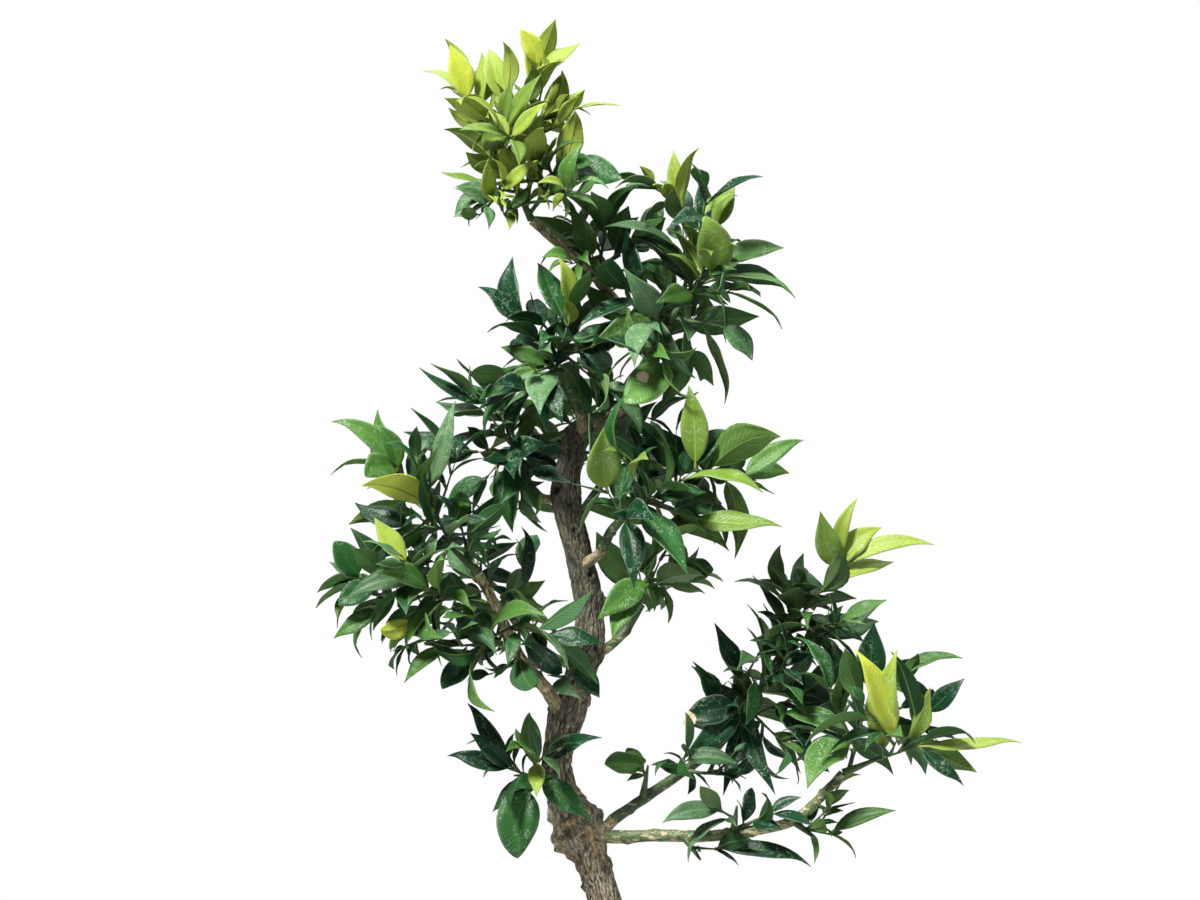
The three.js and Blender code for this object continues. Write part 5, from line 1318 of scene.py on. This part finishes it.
# Where leaves have a tint of their own: centre, radius, and tint. The first place that holds a leaf counts.
tinted_places = [((133, -47, 274), 10, "lime"), ((149, -44, 272), 10, "lime"), ((136, -19, 290), 12, "deep"),
                 ((146, 18, 345), 30, "bright"), ((114, 14, 340), 16, "fresh"),
                 ((190, -33, 242), 14, "bright"), ((-74, -6, 578), 9, "lime"),
                 ((-38, 0, 588), 9, "lime"), ((-58, -4, 505), 20, "sage"),
                 ((-1, -12, 514), 16, "green"), ((-14, -10, 520), 20, "moss"), ((-36, -10, 509), 15, "moss"),
                 ((-8, -34, 516), 18, "moss"), ((-8, 14, 516), 16, "green"), ((37, 0, 524), 16, "bright"),
                 ((64, -2, 512), 14, "fresh"), ((52, -22, 488), 16, "fresh"), ((44, -25, 404), 9, "fresh"),
                 ((8, -44, 388), 14, "fresh"), ((78, -36, 352), 16, "fresh"), ((-44, -26, 196), 22, "green")]
# Single leaves with a tint of their own, most of them young: x and z as seen from the front, and tint.
lone_leaves = [(-101, 301, "lime"), (-100, 353, "lime"), (-96, 345, "bright"), (-20, 468, "bright"),
               (-16, 452, "bright"), (-26, 218, "bright"), (-18, 236, "moss"), (-14, 243, "deep"),
               (152, 262, "lime"), (166, 256, "fresh"), (163, 270, "bright"), (20, 384, "fresh"),
               (58, 368, "fresh")]
TINTED_AT = 0.7  # how far along a leaf the point lies that counts as its place
FRONT_FIRST = 0.5  # how much a leaf's depth counts against its distance when a lone leaf is picked
FACING_FIRST = 0.3  # and how much its length does, as far as it faces the front


def tint_of(leaf, spray_tint):
    if id(leaf) in lone_tints:
        return lone_tints[id(leaf)]
    middle = leaf.at(TINTED_AT, 0, 0)
    for centre, radius, tint in tinted_places:
        if math.dist(middle, centre) < radius:
            return tint
    return spray_tint


all_leaves = [leaf for crown in crowns for leaf, _ in crown["leaves"]]
leaf_middles = np.array([leaf.at(0.55, 0, 0) for leaf in all_leaves])
leaf_fronts = np.array([abs(leaf.face[1]) * leaf.length for leaf in all_leaves])
lone_tints = {}
for x, z, tint in lone_leaves:
    aside = np.hypot(leaf_middles[:, 0] - x, leaf_middles[:, 2] - z)
    aside += FRONT_FIRST * leaf_middles[:, 1] - FACING_FIRST * leaf_fronts
    lone_tints[id(all_leaves[int(np.argmin(aside))])] = tint
chance = np.random.RandomState(TINT_SEED)
leaves_by_tint = {tint: [] for tint in tints}
for crown in crowns:
    for place in range(len(crown["twigs"])):
        centre, half = crown["room"]
        end = crown["twigs"][place].joints[-1]
        # Painted light: how high and how far in front the spray ends, which makes its tint lighter.
        painted_lightness = HIGH_SHARE * (end[2] - centre[2]) / half[2] - FRONT_SHARE * (end[1] - centre[1]) / half[1]
        spray_draw = min(chance.uniform() + PAINTED_LIGHT_TINT_SHIFT * painted_lightness, 0.999)
        for tint, share in mature_tints:
            spray_tint = tint
            spray_draw -= share
            if spray_draw < 0:
                break
        if crown["name"] in young_masses:
            spray_tint = "fresh" if chance.uniform() < FRESH_SHARE else "bright"
        for leaf, leaf_place in crown["leaves"]:
            if leaf_place == place:
                # A leaf's painted shade: the deeper inside its mass it stands, the darker it is painted; lone
                # leaves get none.
                from_heart = math.dist(leaf.at(0.6, 0, 0) / half, np.array(centre) / half)
                leaf.inner = 0 if id(leaf) in lone_tints else min(max(PAINTED_SHADE_FROM - from_heart, 0), 1)
                leaves_by_tint[tint_of(leaf, spray_tint)].append(leaf)

outline_steps = curve_at(BLADE_OUTLINE, np.linspace(0, 1, BLADE_ROWS))
blade_along = np.clip(outline_steps[:, 0], 0, 1)
blade_half = np.maximum(outline_steps[:, 1], 0)
round_half = np.maximum(curve_at(ROUND_OUTLINE, np.linspace(0, 1, BLADE_ROWS))[:, 1], 0)
across = np.linspace(-1, 1, BLADE_COLUMNS + 1)
across = np.sign(across) * np.abs(across) ** COLUMN_POWER


def blade_topology():
    """The faces of one blade, and which of them are its underside and its rim."""
    rows, columns = BLADE_ROWS - 2, BLADE_COLUMNS + 1
    half = rows * columns + 2
    foot, tip = rows * columns, rows * columns + 1
    upper = []
    for row in range(rows - 1):
        for column in range(columns - 1):
            low = row * columns + column
            upper.append((low, low + 1, low + columns + 1, low + columns))
    upper += [(foot, column + 1, column) for column in range(columns - 1)]
    last = (rows - 1) * columns
    upper += [(last + column, last + column + 1, tip) for column in range(columns - 1)]
    under = [tuple(half + corner for corner in reversed(face)) for face in upper]
    left = [foot] + [row * columns for row in range(rows)] + [tip]
    right = [foot] + [row * columns + columns - 1 for row in range(rows)] + [tip]
    rim = [(low, high, half + high, half + low) for low, high in zip(left, left[1:])]
    rim += [(half + low, half + high, high, low) for low, high in zip(right, right[1:])]
    return upper, under, rim


upper_faces, under_faces, rim_faces = blade_topology()
blade_faces = upper_faces + under_faces + rim_faces
blade_sides = [0] * len(upper_faces) + [1] * (len(under_faces) + len(rim_faces))
blade_smooth = [True] * (len(upper_faces) + len(under_faces)) + [False] * len(rim_faces)


def column_of(leaves, name):
    return np.array([getattr(leaf, name) for leaf in leaves])


def leaf_lines(leaves):
    """The bent midribs of many leaves: a function from shares of their length to points and directions."""
    foot, way, face, side = (column_of(leaves, name)[:, None] for name in ("foot", "way", "face", "side"))
    length, curl = (column_of(leaves, name)[:, None, None] for name in ("length", "curl"))
    seeds = [int(abs(leaf.foot @ (7919, 104729, 1299709))) % 2 ** 31 for leaf in leaves]
    ways = np.array([np.random.RandomState(seed).uniform(0, 1, 8) for seed in seeds])
    supple = np.where(column_of(leaves, "stands_out"), STANDOUT_ARCH, 1)
    arch = (mix(ARCH, ways[:, 0]) * supple)[:, None, None]
    bend = ((ways[:, 1] - 0.5) * 2 * SIDE_BEND)[:, None, None]
    hook = mix(TIP_BEND, ways[:, 2])[:, None, None]

    def line(along):
        f = along[None, :, None]
        beyond = np.maximum(f - TIP_BEND_FROM, 0)
        rise = 4 * arch * f * (1 - f) - curl * f - hook * beyond ** 2
        point = foot + length * (way * f + face * rise + side * bend * np.sin(math.pi * f))
        ahead = way + face * (4 * arch * (1 - 2 * f) - curl - 2 * hook * beyond)
        ahead = ahead + side * bend * math.pi * np.cos(math.pi * f)
        ahead /= np.linalg.norm(ahead, axis=-1, keepdims=True)
        upright, beside = frames_along(ahead, face)
        lean = ((ways[:, 3] - 0.5) * 2 * TWIST)[:, None, None] * (f - 0.1)
        turned_up = upright * np.cos(lean) + beside * np.sin(lean)
        return point, turned_up, beside * np.cos(lean) - upright * np.sin(lean)

    return line, ways


def blades(leaves):
    """Corners of all blades, leaf by leaf: the upper side's rows, its foot and tip, then the same below."""
    line, ways = leaf_lines(leaves)
    forward = BLADE_START + (1 - BLADE_START) * blade_along
    point, upright, beside = line(forward)
    width, fold = (column_of(leaves, name)[:, None, None] for name in ("width", "fold"))
    stands_out = column_of(leaves, "stands_out")
    width = width * np.where(stands_out, 1, BLADE_SLIM)[:, None, None]
    stout = column_of(leaves, "width") / column_of(leaves, "length")
    roundness = np.clip((stout - BROAD[0]) / (BROAD[1] - BROAD[0]), 0, 1) * stands_out
    half = mix((blade_half, round_half), roundness[:, None])[:, :, None] * width
    s = across[None, None, :]
    reach = np.abs(s)
    wave = mix(WAVE, ways[:, 4])[:, None, None] * width
    phase = ways[:, 5][:, None, None] * WAVE_PLAY + np.where(s < 0, WAVE_OFFSET, 0)
    ripple = wave * reach ** 2 * np.sin(forward[None, :, None] * WAVE_TURNS + phase)
    ripple = ripple * blade_half[None, :, None] * 2
    rise = half * (2 * fold * reach + BLADE_SWELL * np.sin(math.pi * reach)) + ripple
    thick = mix(BLADE_THICKNESS, reach) / 2
    sideways = (s * half)[..., None] * beside[:, :, None]
    halves = []
    for hand in (1, -1):
        height = BLADE_LIFT + rise + hand * thick
        grid = point[:, :, None] + sideways + height[..., None] * upright[:, :, None]
        body = grid[:, 1:-1].reshape(len(leaves), -1, 3)
        middle = BLADE_COLUMNS // 2
        halves += [body, grid[:, :1, middle], grid[:, -1:, middle]]
    return np.concatenate(halves, axis=1)


def blade_places():
    """Where each corner of a blade lies across and along it, from 0 to 1."""
    u = 0.5 + across[None] * blade_half[1:-1, None]
    v = np.repeat(blade_along[1:-1, None], BLADE_COLUMNS + 1, axis=1)
    side = np.stack([u.ravel(), v.ravel()], axis=1)
    side = np.vstack([side, [[0.5, 0], [0.5, 1]]])
    return np.vstack([side, side])


def leaf_finish(name, dark, light, roughness, painted_shade_share):
    """Both sides of a leaf: lighter patches, veins and midrib, painted shade on leaves deep inside their
    mass, and a dry patch where it is damaged.
    """
    finish = Finish(name, Roughness=roughness, Specular_IOR_Level=0.28)
    where = finish.place()
    spot = finish.node("UVMap", {"uv_map": "blade"})
    u = finish.node("SeparateXYZ", None, spot, output="X")
    v = finish.node("SeparateXYZ", None, spot, output="Y")
    from_rib = abs(u - 0.5)
    veins = finish.node("Math", {"operation": "SINE"}, (v - from_rib * VEIN_SLANT) * VEIN_TURNS)
    veins = veins.between(0.72, 1.0) * from_rib.between(0.0, 0.06)
    tone = finish.cloud(where, 16, 3).between(0.35, 0.65)
    colour = finish.blend(tone * 0.5 + finish.mark("age") * 0.5, dark, light)
    colour = finish.blend(veins * 0.22, colour, light)
    # Painted shade on leaves deep inside their mass.
    colour = finish.blend(finish.mark("inner") * painted_shade_share, colour, PAINTED_SHADE_COLOUR)
    edge = finish.blend(from_rib.between(0.1, 0.0) * 0.3, colour, light)
    ragged = finish.cloud(where, 3, 3) * 3 - 1.5
    for middle, radius in dry_patches:
        away = finish.node("VectorMath", {"operation": "DISTANCE"}, where, middle, output="Value")
        edge = finish.blend((away + ragged).between(radius, radius - 0.6), edge, DRY_COLOUR)
    return finish, where, edge, veins


# How near the rim each corner of a blade lies, from 0 to 1.
blade_rims = np.concatenate([np.tile(np.abs(across), BLADE_ROWS - 2), [0.5, 1]] * 2)
for tint, (dark, light, under, gloss) in tints.items():
    leaves = leaves_by_tint[tint]
    painted_shade_share = PAINTED_SHADE_SHARES[tint in young_tints]
    upper, where, colour, veins = leaf_finish("leaf_" + tint, dark, light, gloss, painted_shade_share)
    net = 1 - abs(upper.cloud(where, 5, 2) - 0.5).between(0.004, 0.02)
    dust = upper.cloud(where, 1.3, 3).between(0.62, 0.67) + net * 0.8
    # Pale dust shows only on leaves outside the painted shade.
    sunlit = 1 - upper.mark("inner")
    dust = dust * upper.cloud(where, 11, 2).between(0.42, 0.58) * sunlit
    colour = upper.blend(dust * 0.55, colour, PALE_DUST_AND_HIGHLIGHT)
    relief = upper.cloud(where, 2.2, 3) - veins * 0.5
    # Painted highlight: a pale line along the rims of leaves outside the painted shade.
    rim = upper.mark("rim").between(0.84, 0.98)
    colour = upper.blend(rim * sunlit * 0.3, colour, PALE_DUST_AND_HIGHLIGHT)
    upper.wear(colour, gloss + dust * 0.3 + upper.cloud(where, 6, 3) * 0.12, relief, 0.3)
    under_light = [part * UNDER_LIGHTER for part in under]
    lower, where, colour, veins = leaf_finish("leaf_" + tint + "_under", under, under_light, 0.6, painted_shade_share)
    lower.wear(colour, None, veins + lower.cloud(where, 2.2, 3), 0.25)
    corners = blades(leaves)
    per_leaf = corners.shape[1]
    # A leaf's age only varies its tint within the piece, so it is read from where the leaf stands.
    marks = {"age": np.repeat([leaf.foot[0] * AGE_STEP % 1 for leaf in leaves], per_leaf),
             "rim": np.tile(blade_rims, len(leaves)),
             "inner": np.repeat([leaf.inner for leaf in leaves], per_leaf)}
    piece = make_piece("leaves_" + tint, corners.reshape(-1, 3),
                       repeated(blade_faces, len(leaves), per_leaf), [upper.material, lower.material],
                       blade_sides * len(leaves), blade_smooth * len(leaves), marks)
    layer = piece.data.uv_layers.new(name="blade")
    loops = np.empty(len(piece.data.loops), np.int32)
    piece.data.loops.foreach_get("vertex_index", loops)
    spots = np.tile(blade_places(), (len(leaves), 1))[loops]
    layer.data.foreach_set("uv", spots.astype(np.float32).ravel())
    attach(piece, "root")

# Each leaf's stalk and midrib are one tapered green tube, which grows from the twig through the blade to its
# tip. They are joined in two pieces, darker ones of mature leaves and paler ones of young leaves.
RIB_SIDES = 5
RIB_SHADE = 0.75  # of a rib's colour, in its darker patches
RIB_STEPS = [0, 0.05, 0.1, 0.2, 0.34, 0.5, 0.66, 0.82, 0.97]
RIB_WIDTHS = [0.95, 0.72, 0.66, 0.58, 0.52, 0.46, 0.38, 0.28, 0.16]
RIB_SUNK = 0.05  # into the middle of the blade
RIB_FULL_LENGTH = 40  # of a leaf whose rib has these widths
RIB_THINNEST = 0.55  # of them, on small leaves
rib_kinds = {
    "ribs_old": ([tint for tint in tints if tint not in young_tints], (0.11, 0.19, 0.05)),
    "ribs_young": (young_tints, (0.34, 0.44, 0.09)),
}
for name, (rib_tints, rib_colour) in rib_kinds.items():
    leaves = [leaf for tint in rib_tints for leaf in leaves_by_tint[tint]]
    line, _ = leaf_lines(leaves)
    point, upright, beside = line(np.array(RIB_STEPS))
    sizes = column_of(leaves, "length")[:, None] / RIB_FULL_LENGTH
    widths = np.array(RIB_WIDTHS)[None] * np.clip(sizes, RIB_THINNEST, 1)
    lift = np.where(np.array(RIB_STEPS) > BLADE_START, BLADE_LIFT - RIB_SUNK, 0)
    point = point + lift[None, :, None] * upright
    rings = tube_rings(point, widths, RIB_SIDES, upright, -beside)
    corners = np.concatenate([rings.reshape(len(leaves), -1, 3), point[:, :1], point[:, -1:]], axis=1)
    faces = repeated(closed_faces(len(RIB_STEPS), RIB_SIDES), len(leaves), corners.shape[1])
    rib = Finish(name, Roughness=0.5)
    rib_dark = [part * RIB_SHADE for part in rib_colour]
    rib.wear(rib.blend(rib.cloud(rib.place(), 4, 2), rib_colour, rib_dark))
    piece = make_piece(name, corners.reshape(-1, 3), faces, [rib.material])
    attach(piece, "root")

# The floor is a plain pale disc. The light is a soft studio one, from the upper left in front, with a weaker
# one from the right and a pale room. The camera stands level, where the photograph was taken from.
FLOOR_RADIUS = 750
FLOOR_SIDES = 96
floor_turns = np.arange(FLOOR_SIDES) * 2 * math.pi / FLOOR_SIDES
floor_corners = np.stack([np.cos(floor_turns), np.sin(floor_turns), 0 * floor_turns], axis=1) * FLOOR_RADIUS
floor_finish = Finish("floor_paper", Roughness=0.9)
floor_tone = floor_finish.cloud(floor_finish.place(), 300, 2)
floor_finish.wear(floor_finish.blend(floor_tone, (0.7, 0.7, 0.69), (0.74, 0.74, 0.73)))
floor = make_piece("floor", floor_corners, [range(FLOOR_SIDES)], [floor_finish.material], smooth=False)


def soft_light(name, place, aim, width, watts, colour):
    """A round studio lamp. Its place, its aim and its width are in metres."""
    lamp = bpy.data.lights.new(name, "AREA")
    lamp.shape = "DISK"
    lamp.size = width
    lamp.energy = watts
    lamp.color = colour
    holder = bpy.data.objects.new(name, lamp)
    holder.location = place
    holder.rotation_euler = (Vector(aim) - Vector(place)).to_track_quat("-Z", "Y").to_euler()
    bpy.context.scene.collection.objects.link(holder)


soft_light("key_light", (-1.0, -1.35, 2.3), (0, 0, 0.36), 0.6, 134, (1.0, 0.985, 0.94))
soft_light("fill_light", (1.9, -1.3, 0.8), (0, 0, 0.36), 1.6, 9, (0.95, 0.98, 1.0))
soft_light("sky_light", (0.2, 0.5, 2.4), (0, 0, 0.4), 1.8, 26, (0.97, 1.0, 1.0))

# The room is seen as white. The light that it gives is dim from below and brighter from above.
ROOM_GLOW = (0.01, 0.23)
GLOW_RISES = (-0.4, 0.8)  # how far up the light comes from where its glow starts and stops to rise
room = bpy.data.worlds.new("room")
bpy.context.scene.world = room
room_tree = ShaderTree(room)
way_up = room_tree.node("SeparateXYZ", None, room_tree.node("TexCoord", output="Generated"), output="Z")
glow_strength = room_tree.node("MapRange", None, way_up, *GLOW_RISES, *ROOM_GLOW)
glow = room_tree.node("Background", None, (0.96, 0.985, 1.0), glow_strength)
white = room_tree.node("Background", None, (1, 1, 1), 1.0)
seen = room_tree.node("LightPath", output="Is Camera Ray")
either = room_tree.node("MixShader", None, seen, glow, white)
room_tree.feed(room_tree.nodes["World Output"].inputs["Surface"], either)

CAMERA_DISTANCE = 2.2
CAMERA_HEIGHT = 0.385
SENSOR_WIDTH = 36
LENS_LENGTH = 132
lens = bpy.data.cameras.new("camera")
lens.sensor_fit = "HORIZONTAL"
lens.sensor_width = SENSOR_WIDTH
lens.lens = LENS_LENGTH
lens.clip_start = 0.05
lens.clip_end = 50
camera = bpy.data.objects.new("camera", lens)
camera.location = (0, -CAMERA_DISTANCE, CAMERA_HEIGHT)
camera.rotation_euler = (math.pi / 2, 0, 0)
bpy.context.scene.collection.objects.link(camera)
bpy.context.scene.camera = camera
bpy.context.scene.view_settings.view_transform = "Standard"
